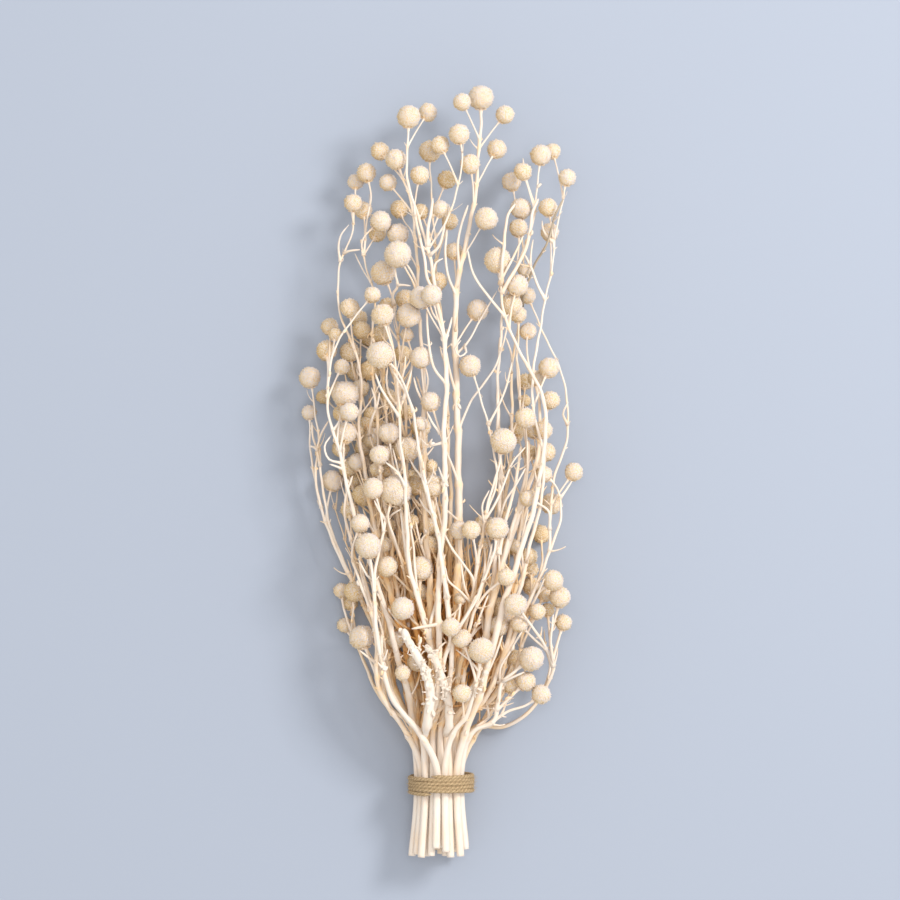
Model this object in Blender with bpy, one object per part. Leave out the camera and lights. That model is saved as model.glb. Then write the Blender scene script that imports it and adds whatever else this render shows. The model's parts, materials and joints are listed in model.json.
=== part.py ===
"""A bunch of bleached, dried branches with round button heads, tied near the cut ends, lying flat.

The bunch lies along Y, tips towards +Y, on the plane z = 0. Each branch is one spray: a woody
stem that forks, with a round head on every twig. The stems run side by side through a wound
twine tie. Lengths here are in millimetres, and each finished mesh is scaled to metres.
"""

import math

import bmesh
import bpy
import numpy as np
from mathutils import Matrix, Vector

METRES = 0.001

# Seen from above, places are (across, down) in steps of half a millimetre
PLAN_STEP = 0.5
PLAN_CENTRE_ACROSS = 441
PLAN_CENTRE_DOWN = 473

# Height of the pile: level 1 lies on the surface, level 9 is the top of it
LEVEL_ONE_HEIGHT = 5.5
LEVEL_STEP = 5.0

# The tie and the bundle of stems in it
TIE_Y = -156.0
TIE_TURNS = 5
TWINE_DIAMETER = 2.2
TWINE_CREST = 1.2
TWINE_GROOVE = 0.6
TIE_SIDES = 16
TIE_CLEARANCE = 0.3
BUNDLE_ROWS = (4, 5, 6, 7, 6, 5, 4)
STEM_PITCH = 4.0
TIED_RADIUS = 2.2
BENDING_RADIUS = 1.8
TIE_MARGIN = 2.0
SHOULDER_LENGTH = 20.0
SHOULDER_SPREAD = 0.45
CUT_END_Y = -190.0
CUT_END_SCATTER = 2.5
CUT_END_FLARE = 1.22
RISE_LENGTH = 70.0

# Stems, forks and twigs
TIP_RADIUS = 0.65
FORK_RADIUS = 1.0
TWIG_ROOT_RADIUS = 0.85
TWIG_TIP_RADIUS = 0.6
TWIG_REACH = 17.0
TWIG_ANGLE = math.radians(32)
SHORT_TWIG = 26.0
LOWEST_TWIG_Y = TIE_Y + 20.0
STEM_SIDES = 4
TWIG_SIDES = 3

# A head is a ball of florets: its bumps reach its radius, and the pits between them lie inside
HEAD_PIT = 0.91
BUD_RADIUS = 4.0
TWIG_CLEAR_OF_HEAD = 5.0

# Clear air between two sprays, and the passes that bend them apart
CLEARANCE = 0.5
BENDING_PASSES = 420
FREE_PASSES = 120
PASSES_PER_SEARCH = 10
SEARCH_MARGIN = 2.5

CREAM = (0.86, 0.76, 0.58)
TWINE_TAN = (0.55, 0.43, 0.27)

# Each spray: its level, its stem's diameter, its limbs and its further heads. A limb runs
# outwards and ends in its own head, (across, down, radius, level), or with radius 0 in a bare
# tip. The first limb is the stem, from the tie up. The further heads stand on twigs.
SPRAYS = (
    dict(level=1.0, diameter=2.6, limbs=[
        [(383, 706), (371, 686), (363, 668), (356, 650), (344, 627, 7.5, 1)],
    ], heads=[
        (354, 592, 10, 4), (340, 592, 7.5, 1), (349, 604, 8, 1),
    ]),
    dict(level=3.0, diameter=3.0, limbs=[
        [(398, 700), (385, 660), (349, 575), (328, 534), (317, 498), (308, 412, 7.5, 3)],
        [(349, 575), (325, 510), (318, 430), (309, 377, 10.5, 3)],
    ], heads=[
        (332, 481, 10.5, 2),
    ]),
    dict(level=7.0, diameter=3.4, limbs=[
        [(410, 700), (383, 600), (366, 550), (343, 467), (329, 405), (331, 371), (338, 343),
         (373, 296, 8, 8)],
    ], heads=[
        (326, 350, 10, 5), (335, 334, 6.5, 4), (329, 326, 8.5, 3), (342, 367, 7.8, 6), (350, 412, 9, 8),
        (345, 433, 8.5, 5), (345, 394, 13, 7),
    ]),
    dict(level=6.0, diameter=3.2, limbs=[
        [(415, 700), (391, 600), (367, 490), (360, 430), (361, 380), (339, 302), (341, 262), (350, 238),
         (353, 203, 8.7, 4)],
        [(341, 262), (339, 246), (341, 236), (349, 225, 0, 6)],
    ], heads=[
        (350, 308, 9.5, 6), (355, 432, 8, 5), (357, 462, 8.5, 5), (355, 180, 8, 3),
    ]),
    dict(level=1.5, diameter=3.0, limbs=[
        [(412, 700), (402, 640), (390, 580), (377, 520), (366, 450), (355, 371, 9, 1)],
    ], heads=[
        (349, 351, 9.5, 2), (361, 329, 9, 2), (363, 447, 9, 2), (363, 495, 11, 3), (322, 396, 7, 1),
    ]),
    dict(level=7.5, diameter=2.8, limbs=[
        [(385, 700), (371, 611), (360, 580), (354, 551), (361, 523, 9, 8)],
    ], heads=[
        (362, 637, 12, 6),
    ]),
    dict(level=9.0, diameter=3.0, limbs=[
        [(395, 700), (376, 610), (377, 570), (383, 530), (396, 491, 12.2, 8)],
    ], heads=[
        (374, 488, 10, 8), (369, 545, 12.2, 9),
    ]),
    dict(level=5.0, diameter=3.4, limbs=[
        [(436, 700), (421, 621), (388, 516), (380, 472), (380, 455, 9.5, 8)],
    ], heads=[
        (377, 469, 7, 5), (388, 566, 9.8, 8), (388, 526, 7, 3), (396, 640, 8.3, 6),
    ]),
    dict(level=6.5, diameter=3.4, limbs=[
        [(433, 700), (430, 640), (405, 550), (400, 509), (389, 433, 10, 8)],
    ], heads=[
        (407, 449, 10.5, 6), (403, 607, 11, 9),
    ]),
    dict(level=2.5, diameter=3.4, limbs=[
        [(424, 700), (410, 600), (400, 550), (395, 500), (385, 420), (383, 380), (388, 306, 8.5, 5)],
    ], heads=[
        (380, 333, 9, 2), (369, 369, 10, 2), (368, 336, 9, 1), (404, 673, 9, 3), (373, 438, 10, 4),
    ]),
    dict(level=8.0, diameter=3.2, limbs=[
        [(440, 700), (432, 650), (412, 560), (403, 455), (394, 360), (383, 316, 10.8, 9)],
        [(398, 412), (405, 390), (412, 362), (407, 335, 6.5, 6)],
    ], heads=[
        (416, 662, 9, 6),
    ]),
    dict(level=8.8, diameter=3.2, limbs=[
        [(447, 700), (446, 585), (426, 484), (410, 402), (397, 372), (381, 356, 12.7, 9)],
    ], heads=[
        (421, 427, 9.5, 6), (417, 485, 10, 3),
    ]),
    dict(level=5.5, diameter=3.2, limbs=[
        [(427, 700), (421, 640), (413, 580), (409, 520), (407, 460), (400, 345), (394, 305),
         (383, 273, 12, 6)],
    ], heads=[
        (405, 298, 9.5, 3), (409, 316, 11.8, 7),
    ]),
    dict(level=7.0, diameter=3.8, limbs=[
        [(431, 700), (431, 640), (430, 580), (426, 520), (424, 460), (421, 350), (416, 260), (406, 184),
         (396, 160, 10, 6)],
        [(419, 322), (414, 285), (405, 268), (398, 256, 13, 9)],
    ], heads=[
        (398, 234, 10.3, 5), (399, 207, 9, 2), (421, 358, 10.5, 8), (388, 182, 8.5, 5),
        (420, 176, 9, 7), (380, 150, 9, 4),
    ]),
    dict(level=8.0, diameter=3.0, limbs=[
        [(443, 700), (436, 660), (428, 625), (421, 595), (421, 568, 11.5, 8)],
    ], heads=[
        (430, 545, 10, 3), (429, 527, 8.5, 3),
    ]),
    dict(level=8.5, diameter=4.6, limbs=[
        [(438, 700), (438, 640), (439, 575), (440, 510), (442, 450), (443, 345), (430, 260), (409, 185),
         (409, 118, 11, 7)],
        [(430, 249), (446, 222), (456, 196), (462, 166), (459, 136, 10, 8)],
    ], heads=[
        (434, 486, 9.5, 8), (431, 402, 9.5, 8), (441, 210, 8.5, 7), (432, 297, 10, 9),
        (421, 299, 11, 8), (431, 466, 6.5, 6), (428, 112, 9, 5), (440, 146, 9, 7),
    ]),
    dict(level=3.0, diameter=3.4, limbs=[
        [(449, 700), (448, 640), (450, 580), (450, 520), (449, 460), (448, 400), (440, 300), (431, 195),
         (430, 150, 10.5, 4)],
    ], heads=[
        (438, 281, 9, 4), (450, 220, 8, 3), (420, 210, 8, 3), (447, 178, 9, 3),
    ]),
    dict(level=6.5, diameter=4.4, limbs=[
        [(452, 700), (456, 640), (459, 570), (458, 510), (459, 440), (455, 375), (460, 270), (477, 185),
         (481, 98, 12, 6)],
        [(459, 432), (465, 413), (497, 363), (511, 305, 10.5, 6)],
        [(455, 354), (467, 344), (480, 320), (497, 291, 0, 6)],
    ], heads=[
        (454, 251, 8.5, 5), (486, 220, 11, 8), (478, 310, 10.5, 6), (459, 530, 9, 7),
        (497, 148, 9.5, 4), (462, 104, 8.5, 8), (470, 165, 9.5, 7), (505, 115, 9, 6),
    ]),
    dict(level=8.5, diameter=2.8, limbs=[
        [(442, 700), (446, 655), (479, 592), (493, 558), (497, 528, 11, 8)],
    ], heads=[
        (484, 525, 10, 4), (484, 544, 6, 5), (460, 598, 6, 7), (451, 625, 9, 9),
    ]),
    dict(level=7.0, diameter=3.2, limbs=[
        [(464, 700), (466, 640), (472, 595), (491, 495), (503, 441, 12.5, 9)],
        [(489, 515), (497, 475), (490, 430), (470, 366, 10.5, 7)],
    ], heads=[
        (471, 529, 9, 9),
    ]),
    dict(level=8.0, diameter=3.8, limbs=[
        [(478, 700), (490, 650), (520, 550), (543, 455), (546, 424), (506, 318), (497, 261, 12.5, 8)],
    ], heads=[
        (543, 430, 9, 6), (517, 286, 10.5, 6), (528, 331, 8.3, 5),
    ]),
    dict(level=6.0, diameter=3.4, limbs=[
        [(472, 700), (490, 600), (497, 550), (499, 490), (499, 430), (498, 370), (503, 310), (528, 232),
         (541, 155, 10, 5)],
    ], heads=[
        (519, 228, 9, 3), (525, 270, 7, 3), (523, 172, 8.5, 6),
    ]),
    dict(level=5.0, diameter=3.0, limbs=[
        [(482, 700), (510, 600), (525, 500), (526, 450), (520, 400), (518, 314, 8.5, 6)],
    ], heads=[
        (525, 418, 10, 8), (526, 381, 8, 0.5), (518, 430, 8.5, 2),
    ]),
    dict(level=8.0, diameter=4.2, limbs=[
        [(474, 700), (491, 615), (516, 520), (540, 450), (536, 378, 8, 5)],
    ], heads=[
        (546, 452, 9.5, 6), (551, 400, 9, 5),
    ]),
    dict(level=6.8, diameter=2.8, limbs=[
        [(486, 700), (517, 600), (530, 550), (545, 465), (535, 385), (537, 345), (553, 266), (557, 222),
         (567, 178, 8.5, 5)],
    ], heads=[
        (550, 232, 9, 5), (548, 208, 9, 6), (549, 368, 10, 5), (553, 150, 8, 4),
    ]),
    dict(level=5.8, diameter=3.0, limbs=[
        [(494, 700), (512, 650), (544, 567), (562, 510), (557, 487), (544, 474, 8, 6)],
        [(548, 550), (553, 475), (564, 440), (567, 410), (558, 362), (540, 328), (528, 295, 8, 4)],
        [(552, 530), (548, 512), (536, 503), (528, 498, 8, 8)],
    ], heads=[
        (574, 472, 9, 5), (542, 535, 9, 0.5),
    ]),
    dict(level=5.2, diameter=2.8, limbs=[
        [(490, 700), (517, 600), (524, 525), (535, 509), (552, 504, 10.3, 4)],
    ], heads=[
        (529, 557, 8.5, 4), (514, 548, 8, 0.5),
    ]),
    dict(level=5.0, diameter=2.6, limbs=[
        [(498, 700), (513, 668), (527, 612), (538, 594), (553, 580, 10, 6)],
    ], heads=[
        (546, 596, 8, 3), (537, 611, 8, 6), (532, 587, 9, 2), (531, 570, 8, 4),
    ]),
    dict(level=4.0, diameter=2.4, limbs=[
        [(503, 730), (547, 690), (554, 672), (551, 640), (560, 597, 10.5, 6)],
        [(554, 668), (545, 646), (532, 626), (515, 603, 11, 9)],
    ], heads=[
        (564, 623, 8.2, 4), (548, 610, 7, 3), (519, 623, 8.5, 8),
    ]),
    dict(level=7.0, diameter=2.8, limbs=[
        [(492, 722), (498, 700), (502, 682), (516, 670), (531, 658, 12, 7)],
    ], heads=[
        (526, 681, 9.5, 6), (541, 694, 9.5, 6), (515, 660, 9, 3),
    ]),
    dict(level=9.0, diameter=2.8, limbs=[
        [(467, 715), (474, 690), (478, 668), (481, 648, 12.5, 9)],
    ], heads=[
        (462, 637, 9, 9),
    ]),
    dict(level=7.2, diameter=2.8, limbs=[
        [(456, 700), (462, 660), (477, 605), (491, 588), (506, 576, 8.5, 8)],
    ], heads=[
        (501, 607, 9, 3), (505, 624, 9, 3),
    ]),
    dict(level=2.5, diameter=3.2, limbs=[
        [(470, 700), (483, 640), (496, 580), (505, 520), (510, 460), (515, 350), (522, 300), (524, 250),
         (521, 208, 10.5, 3)],
    ], heads=[
        (526, 400, 6, 0.5), (512, 180, 9.5, 3),
    ]),
    dict(level=4.5, diameter=3.0, limbs=[
        [(418, 700), (407, 640), (396, 580), (388, 520), (380, 450), (372, 350), (375, 300), (365, 265),
         (362, 240), (381, 222, 10.2, 6)],
        [(363, 256), (367, 225), (371, 195), (366, 172, 9.5, 4)],
    ], heads=[
        (363, 209, 8.5, 3), (377, 232, 8.5, 3),
    ]),
)


def ring_places(sides):
    """Angles of a ring's corners, turned so that a flat side faces down."""
    return [2 * math.pi * (side + 0.5) / sides - math.pi / 2 for side in range(sides)]


# The ring round the bundle, and the height of its middle when its lowest side lies on z = 0
BUNDLE_RADIUS = STEM_PITCH * (len(BUNDLE_ROWS) // 2) + TIED_RADIUS
TIE_INNER_RADIUS = (BUNDLE_RADIUS + TIE_CLEARANCE) / math.cos(math.pi / TIE_SIDES)
TIE_OUTER_RADIUS = TIE_INNER_RADIUS + TWINE_DIAMETER
TIE_HEIGHT = TIE_OUTER_RADIUS * math.cos(math.pi / TIE_SIDES)
TIE_HALF_WIDTH = TIE_TURNS * TWINE_DIAMETER / 2


def plan_place(across, down):
    return (across - PLAN_CENTRE_ACROSS) * PLAN_STEP, (PLAN_CENTRE_DOWN - down) * PLAN_STEP


def level_height(level):
    return LEVEL_ONE_HEIGHT + (level - 1) * LEVEL_STEP


def bundle_places():
    """Centres (x, z) of the stems in the tie: close-packed rows, those nearest its middle kept."""
    row_height = STEM_PITCH * math.sqrt(3) / 2
    middle_row = len(BUNDLE_ROWS) // 2
    places = []
    for row, count in enumerate(BUNDLE_ROWS):
        for place in range(count):
            x = (place - (count - 1) / 2) * STEM_PITCH
            z = (row - middle_row) * row_height
            places.append((row, x, z))
    places.sort(key=lambda place: round(math.hypot(place[1], place[2]), 3))
    return sorted(places[: len(SPRAYS)])


def stem_places():
    """Each spray's place in the tie: low sprays in the low rows, and each row from left to right."""
    waiting = sorted(range(len(SPRAYS)), key=lambda number: SPRAYS[number]["level"])
    places = bundle_places()
    found = {}
    for row in range(len(BUNDLE_ROWS)):
        row_places = [place for place in places if place[0] == row]
        members = waiting[: len(row_places)]
        waiting = waiting[len(row_places):]
        members.sort(key=lambda number: SPRAYS[number]["limbs"][0][0][0])
        for number, (_, x, z) in zip(members, row_places):
            found[number] = (x, TIE_HEIGHT + z)
    return found


class Bunch:
    """The skeleton of the sprays: points with radii, the strands through them, and the heads."""

    def __init__(self):
        self.points = []
        self.radii = []
        self.held = []
        self.strands = []
        self.heads = []

    def add_strand(self, spray, sides, points, radii, held=0, root=None):
        """A strand of points. A rooted one starts at (point, share) of another strand's segment."""
        first = len(self.points)
        self.points.extend(points)
        self.radii.extend(radii)
        self.held.extend(index < held for index in range(len(points)))
        ids = list(range(first, len(self.points)))
        strand = {"spray": spray, "sides": sides, "ids": ids, "root": root, "number": len(self.strands)}
        self.strands.append(strand)
        return strand

    def add_head(self, strand, radius):
        """A head round the last point of a strand."""
        self.heads.append({"strand": strand, "id": strand["ids"][-1], "radius": radius})

    def meets_own_head(self, strand, place):
        """Whether a twig that left a strand here would meet the head at that strand's end."""
        for head in self.heads:
            if head["strand"] is strand:
                gap = np.linalg.norm(place - np.array(self.points[head["id"]]))
                return gap < head["radius"] + TWIG_CLEAR_OF_HEAD
        return False

    def along(self, strand):
        """Places on a strand, each as (segment's first point, share, place, direction)."""
        samples = []
        for first, second in zip(strand["ids"], strand["ids"][1:]):
            start = np.array(self.points[first])
            run = np.array(self.points[second]) - start
            length = np.linalg.norm(run)
            steps = max(2, int(length / SEARCH_MARGIN))
            for step in range(steps):
                share = step / steps
                samples.append((first, share, start + share * run, run / length))
        return samples


def grow_stem(bunch, number, place):
    """The stem: from its cut end through the tie, up to its level, and out to its tip."""
    spray = SPRAYS[number]
    limb = spray["limbs"][0]
    thickest = spray["diameter"] / 2
    x, z = place
    scatter = CUT_END_SCATTER * math.sin(number * 2.4)
    flared = max(TIE_HEIGHT + (z - TIE_HEIGHT) * CUT_END_FLARE, TIED_RADIUS)
    points = [
        (x * CUT_END_FLARE, CUT_END_Y + scatter, flared),
        (x, TIE_Y - TIE_HALF_WIDTH - TIE_MARGIN, z),
        (x, TIE_Y + TIE_HALF_WIDTH + TIE_MARGIN, z),
    ]
    radii = [TIED_RADIUS] * len(points)
    held = len(points)
    first_x, _ = plan_place(*limb[0][:2])
    shoulder = (x + (first_x - x) * SHOULDER_SPREAD, points[-1][1] + SHOULDER_LENGTH)
    tip_x, tip_y = plan_place(*limb[-1][:2])
    reach = math.hypot(tip_x - x, tip_y - TIE_Y)
    low = level_height(spray["level"])
    tip_rise = level_height(limb[-1][3]) - low
    for px, py in [shoulder] + [plan_place(*entry[:2]) for entry in limb]:
        risen = min(1.0, (py - TIE_Y) / RISE_LENGTH)
        risen = risen * risen * (3 - 2 * risen)
        share = math.hypot(px - x, py - TIE_Y) / reach
        points.append((px, py, z + (low + tip_rise * share ** 3 - z) * risen))
        radii.append(thickest + (TIP_RADIUS - thickest) * share ** 1.6)
    strand = bunch.add_strand(number, STEM_SIDES, points, radii, held=held)
    if limb[-1][2]:
        bunch.add_head(strand, limb[-1][2] * PLAN_STEP)
    return strand


def grow_fork(bunch, number, limb, parents):
    """A fork: it leaves the nearest place of an earlier limb and runs to its head or bare tip."""
    x, y = plan_place(*limb[0])
    samples = [sample for parent in parents for sample in bunch.along(parent)]
    gaps = [math.hypot(place[0] - x, place[1] - y) for _, _, place, _ in samples]
    first, share, place, _ = samples[gaps.index(min(gaps))]
    rise = level_height(limb[-1][3]) - place[2]
    points = [tuple(place)]
    radii = [FORK_RADIUS]
    for index, entry in enumerate(limb[1:], 1):
        done = index / (len(limb) - 1)
        x, y = plan_place(*entry[:2])
        points.append((x, y, place[2] + rise * done))
        radii.append(FORK_RADIUS + (TIP_RADIUS - FORK_RADIUS) * done)
    strand = bunch.add_strand(number, TWIG_SIDES, points, radii, root=(first, share))
    if limb[-1][2]:
        bunch.add_head(strand, limb[-1][2] * PLAN_STEP)
    return strand


def grow_twig(bunch, number, head, parents):
    """A twig: it leaves a limb below its head at a narrow angle and bends up into the head."""
    x, y = plan_place(*head[:2])
    radius = head[2] * PLAN_STEP
    centre = np.array((x, y, level_height(head[3])))
    choices = []
    for parent in parents:
        for first, share, place, direction in bunch.along(parent):
            if place[1] < LOWEST_TWIG_Y or bunch.meets_own_head(parent, place):
                continue
            length = np.linalg.norm(centre - place)
            lean = ((centre - place) * direction).sum() / length
            angle = math.acos(max(-1.0, min(1.0, lean)))
            cost = abs(angle - TWIG_ANGLE) / 0.5 + abs(length - TWIG_REACH - radius) / 14.0
            choices.append((cost, len(choices), first, share, place, direction, length))
    _, _, first, share, place, direction, length = min(choices)
    straight = (centre - place) / length
    up = np.array((0.0, 1.0, 0.0))
    leave = place + 0.36 * length * (0.6 * direction + 0.5 * straight)
    arrive = centre - 0.34 * length * (0.55 * straight + 0.5 * up)
    segments = 2 if length < SHORT_TWIG else 3
    points = []
    radii = []
    for index in range(segments + 1):
        t = index / segments
        u = 1 - t
        point = u ** 3 * place + 3 * u * u * t * leave + 3 * u * t * t * arrive + t ** 3 * centre
        points.append(tuple(point))
        radii.append(TWIG_ROOT_RADIUS + (TWIG_TIP_RADIUS - TWIG_ROOT_RADIUS) * t)
    strand = bunch.add_strand(number, TWIG_SIDES, points, radii, root=(first, share))
    bunch.add_head(strand, radius)


def grow_bunch():
    """All sprays as they lie in plan and by level, before they are bent clear of one another."""
    bunch = Bunch()
    places = stem_places()
    for number, spray in enumerate(SPRAYS):
        limbs = [grow_stem(bunch, number, places[number])]
        for limb in spray["limbs"][1:]:
            limbs.append(grow_fork(bunch, number, limb, limbs))
        for head in spray["heads"]:
            grow_twig(bunch, number, head, limbs)
    return bunch


def nearest(a, b, c, d):
    """Shares s and t of the nearest places of segments a-b and c-d, for whole arrays of pairs."""
    ab = b - a
    cd = d - c
    ca = a - c
    ab_ab = np.maximum((ab * ab).sum(1), 1e-9)
    cd_cd = np.maximum((cd * cd).sum(1), 1e-9)
    ab_cd = (ab * cd).sum(1)
    ab_ca = (ab * ca).sum(1)
    cd_ca = (cd * ca).sum(1)
    square = np.maximum(ab_ab * cd_cd - ab_cd * ab_cd, 1e-9)
    s = np.clip((ab_cd * cd_ca - ab_ca * cd_cd) / square, 0, 1)
    t = np.clip((ab_cd * s + cd_ca) / cd_cd, 0, 1)
    s = np.clip((ab_cd * t - ab_ca) / ab_ab, 0, 1)
    return s, t


def segments_of(bunch):
    """Every stretch of a strand as a segment with two radii, then every head as one of no length."""
    rows = []
    radii = [min(radius, BENDING_RADIUS) for radius in bunch.radii]
    for strand in bunch.strands:
        for low, high in zip(strand["ids"], strand["ids"][1:]):
            rows.append((low, high, radii[low], radii[high], strand["spray"], strand["number"], False))
    for head in bunch.heads:
        place = head["id"]
        strand = head["strand"]
        size = head["radius"]
        rows.append((place, place, size, size, strand["spray"], strand["number"], True))
    return [np.array(column) for column in zip(*rows)]


def settle(bunch):
    """Bends the sprays clear of one another and of the surface, mostly up and down.

    Each pass pushes every pair of segments that is too close apart along the line between their
    nearest places, eases each point towards where it grew, and smooths the bends. Points give way
    in height before they give way in plan, and heads move least. The tied ends are held, and the
    root of a fork or twig stays on its limb. The last passes only push.
    """
    first, second, low_radius, high_radius, spray, strand, is_head = segments_of(bunch)
    radius = np.maximum(low_radius, high_radius)
    grown = np.array(bunch.points)
    points = grown.copy()
    held = np.array(bunch.held)
    head_ids = np.array([head["id"] for head in bunch.heads])
    floor = np.array(bunch.radii)
    floor[head_ids] = [head["radius"] for head in bunch.heads]

    give = np.tile((0.30, 0.30, 1.0), (len(points), 1))
    give[head_ids, :2] = 0.06
    give[held] = 0
    pull = np.tile((0.10, 0.10, 0.012), (len(points), 1))
    pull[head_ids, :2] = 0.25
    pull[held] = 0
    smoothing = 0.22
    inner = np.concatenate([one["ids"][1:-1] for one in bunch.strands])
    inner = inner[~held[inner]]

    rooted = [one for one in bunch.strands if one["root"]]
    root_ids = np.array([one["ids"][0] for one in rooted])
    root_first = np.array([one["root"][0] for one in rooted])
    root_share = np.array([one["root"][1] for one in rooted])[:, None]

    left, right = np.triu_indices(len(first), 1)
    apart = spray[left] != spray[right]
    apart |= (is_head[left] | is_head[right]) & (strand[left] != strand[right])
    left, right = left[apart], right[apart]

    for step in range(BENDING_PASSES + FREE_PASSES):
        if step % PASSES_PER_SEARCH == 0:
            middle = (points[first] + points[second]) / 2
            half = np.sqrt(((points[first] - points[second]) ** 2).sum(1)) / 2 + radius
            span = half[left] + half[right] + CLEARANCE + SEARCH_MARGIN
            near = ((middle[left] - middle[right]) ** 2).sum(1) < span ** 2
            one, two = left[near], right[near]
        a, b, c, d = first[one], second[one], first[two], second[two]
        s, t = nearest(points[a], points[b], points[c], points[d])
        away = points[a] * (1 - s)[:, None] + points[b] * s[:, None]
        away = away - points[c] * (1 - t)[:, None] - points[d] * t[:, None]
        distance = np.maximum(np.sqrt((away * away).sum(1)), 1e-6)
        wanted = CLEARANCE + (low_radius[one] * (1 - s) + high_radius[one] * s)
        wanted = wanted + low_radius[two] * (1 - t) + high_radius[two] * t
        close = distance < wanted
        away = away[close] / distance[close, None]
        short = (wanted - distance)[close]
        s, t = s[close, None], t[close, None]
        ends = ((a[close], 1 - s, 1.0), (b[close], s, 1.0), (c[close], 1 - t, -1.0), (d[close], t, -1.0))
        ease = sum((give[ids] * away * away).sum(1) * share[:, 0] ** 2 for ids, share, _ in ends)
        push = away * (short / np.maximum(ease, 1e-3))[:, None]
        moves = np.zeros_like(points)
        weights = np.zeros(len(points))
        for ids, share, sign in ends:
            np.add.at(moves, ids, sign * share * give[ids] * push)
            np.add.at(weights, ids, share[:, 0])
        points += moves / np.maximum(weights, 1.0)[:, None]
        if step < BENDING_PASSES:
            points -= pull * (points - grown)
            shift = points - grown
            points[inner] += smoothing * ((shift[inner - 1] + shift[inner + 1]) / 2 - shift[inner])
        points[:, 2] = np.maximum(points[:, 2], floor)
        points[held] = grown[held]
        points[root_ids] = points[root_first] * (1 - root_share) + points[root_first + 1] * root_share
    bunch.points = points


def material(name, colour, roughness):
    made = bpy.data.materials.new(name)
    made.use_nodes = True
    shader = made.node_tree.nodes["Principled BSDF"]
    shader.inputs["Base Color"].default_value = (*colour, 1.0)
    shader.inputs["Roughness"].default_value = roughness
    shader.inputs["Metallic"].default_value = 0.0
    return made


def link(name, mesh):
    made = bpy.data.objects.new(name, mesh)
    bpy.context.scene.collection.objects.link(made)
    return made


def tube_object(name, points, radii, sides):
    """A stem: a ring of corners square to the path at each point, closed at both ends."""
    runs = np.diff(points, axis=0)
    runs /= np.sqrt((runs * runs).sum(1))[:, None]
    tangents = np.vstack((runs[:1], runs[:-1] + runs[1:], runs[-1:]))
    tangents /= np.sqrt((tangents * tangents).sum(1))[:, None]
    across = np.cross(tangents[0], (0.0, 0.0, 1.0))
    corners = []
    for point, tangent, radius in zip(points, tangents, radii):
        across = across - tangent * (across * tangent).sum()
        across /= math.sqrt((across * across).sum())
        over = np.cross(tangent, across)
        for angle in ring_places(sides):
            corner = point + radius * (math.cos(angle) * across + math.sin(angle) * over)
            corners.append(corner * METRES)
    faces = [tuple(reversed(range(sides)))]
    for ring in range(len(points) - 1):
        for side in range(sides):
            here = ring * sides + side
            beside = ring * sides + (side + 1) % sides
            faces.append((here, beside, beside + sides, here + sides))
    last_ring = (len(points) - 1) * sides
    faces.append(tuple(range(last_ring, last_ring + sides)))
    mesh = bpy.data.meshes.new(name)
    mesh.from_pydata(corners, [], faces)
    return link(name, mesh)


def head_object(name, centre, radius, turn):
    """A head: an icosahedron stood on a face, with a bump on each face, or on every second one of a bud."""
    ball = bmesh.new()
    bmesh.ops.create_icosphere(ball, subdivisions=1, radius=radius * HEAD_PIT)
    low_face = min(ball.faces, key=lambda face: face.calc_center_median().z)
    stand = low_face.calc_center_median().rotation_difference(Vector((0, 0, -1)))
    bmesh.ops.rotate(ball, verts=ball.verts, matrix=stand.to_matrix())
    bmesh.ops.rotate(ball, verts=ball.verts, matrix=Matrix.Rotation(turn, 3, "Z"))
    faces = sorted(ball.faces, key=lambda face: round(face.calc_center_median().z, 6))
    if radius <= BUD_RADIUS:
        faces = faces[::2]
    for bump in bmesh.ops.poke(ball, faces=faces)["verts"]:
        bump.co *= radius / bump.co.length
    bmesh.ops.translate(ball, verts=ball.verts, vec=Vector(centre))
    bmesh.ops.scale(ball, verts=ball.verts, vec=(METRES, METRES, METRES))
    mesh = bpy.data.meshes.new(name)
    ball.to_mesh(mesh)
    ball.free()
    return link(name, mesh)


def fuse(stem, pieces):
    """Joins a spray's forks, twigs and heads to its stem in one body."""
    joined = bpy.data.collections.new(stem.name + "_pieces")
    bpy.context.scene.collection.children.link(joined)
    for piece in pieces:
        bpy.context.scene.collection.objects.unlink(piece)
        joined.objects.link(piece)
    union = stem.modifiers.new("fuse", "BOOLEAN")
    union.operation = "UNION"
    union.operand_type = "COLLECTION"
    union.collection = joined
    graph = bpy.context.evaluated_depsgraph_get()
    mesh = bpy.data.meshes.new_from_object(stem.evaluated_get(graph))
    stem.modifiers.remove(union)
    stem.data = mesh
    for piece in pieces:
        bpy.data.objects.remove(piece)
    bpy.data.collections.remove(joined)


def spray_object(bunch, number, random):
    """One spray, with its forks, twigs and heads fused to its stem."""
    pieces = []
    for strand in bunch.strands:
        if strand["spray"] == number:
            ids = strand["ids"]
            radii = [bunch.radii[index] for index in ids]
            pieces.append(tube_object("strand", bunch.points[ids], radii, strand["sides"]))
    for head in bunch.heads:
        if head["strand"]["spray"] == number:
            turn = random.uniform(0, 2 * math.pi)
            pieces.append(head_object("head", bunch.points[head["id"]], head["radius"], turn))
    stem = pieces.pop(0)
    stem.name = f"spray_{number + 1:02d}"
    fuse(stem, pieces)
    stem.data.name = stem.name
    shade = random.uniform(0.94, 1.04)
    stem.data.materials.clear()
    stem.data.materials.append(material(stem.name, [value * shade for value in CREAM], 0.85))


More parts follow.
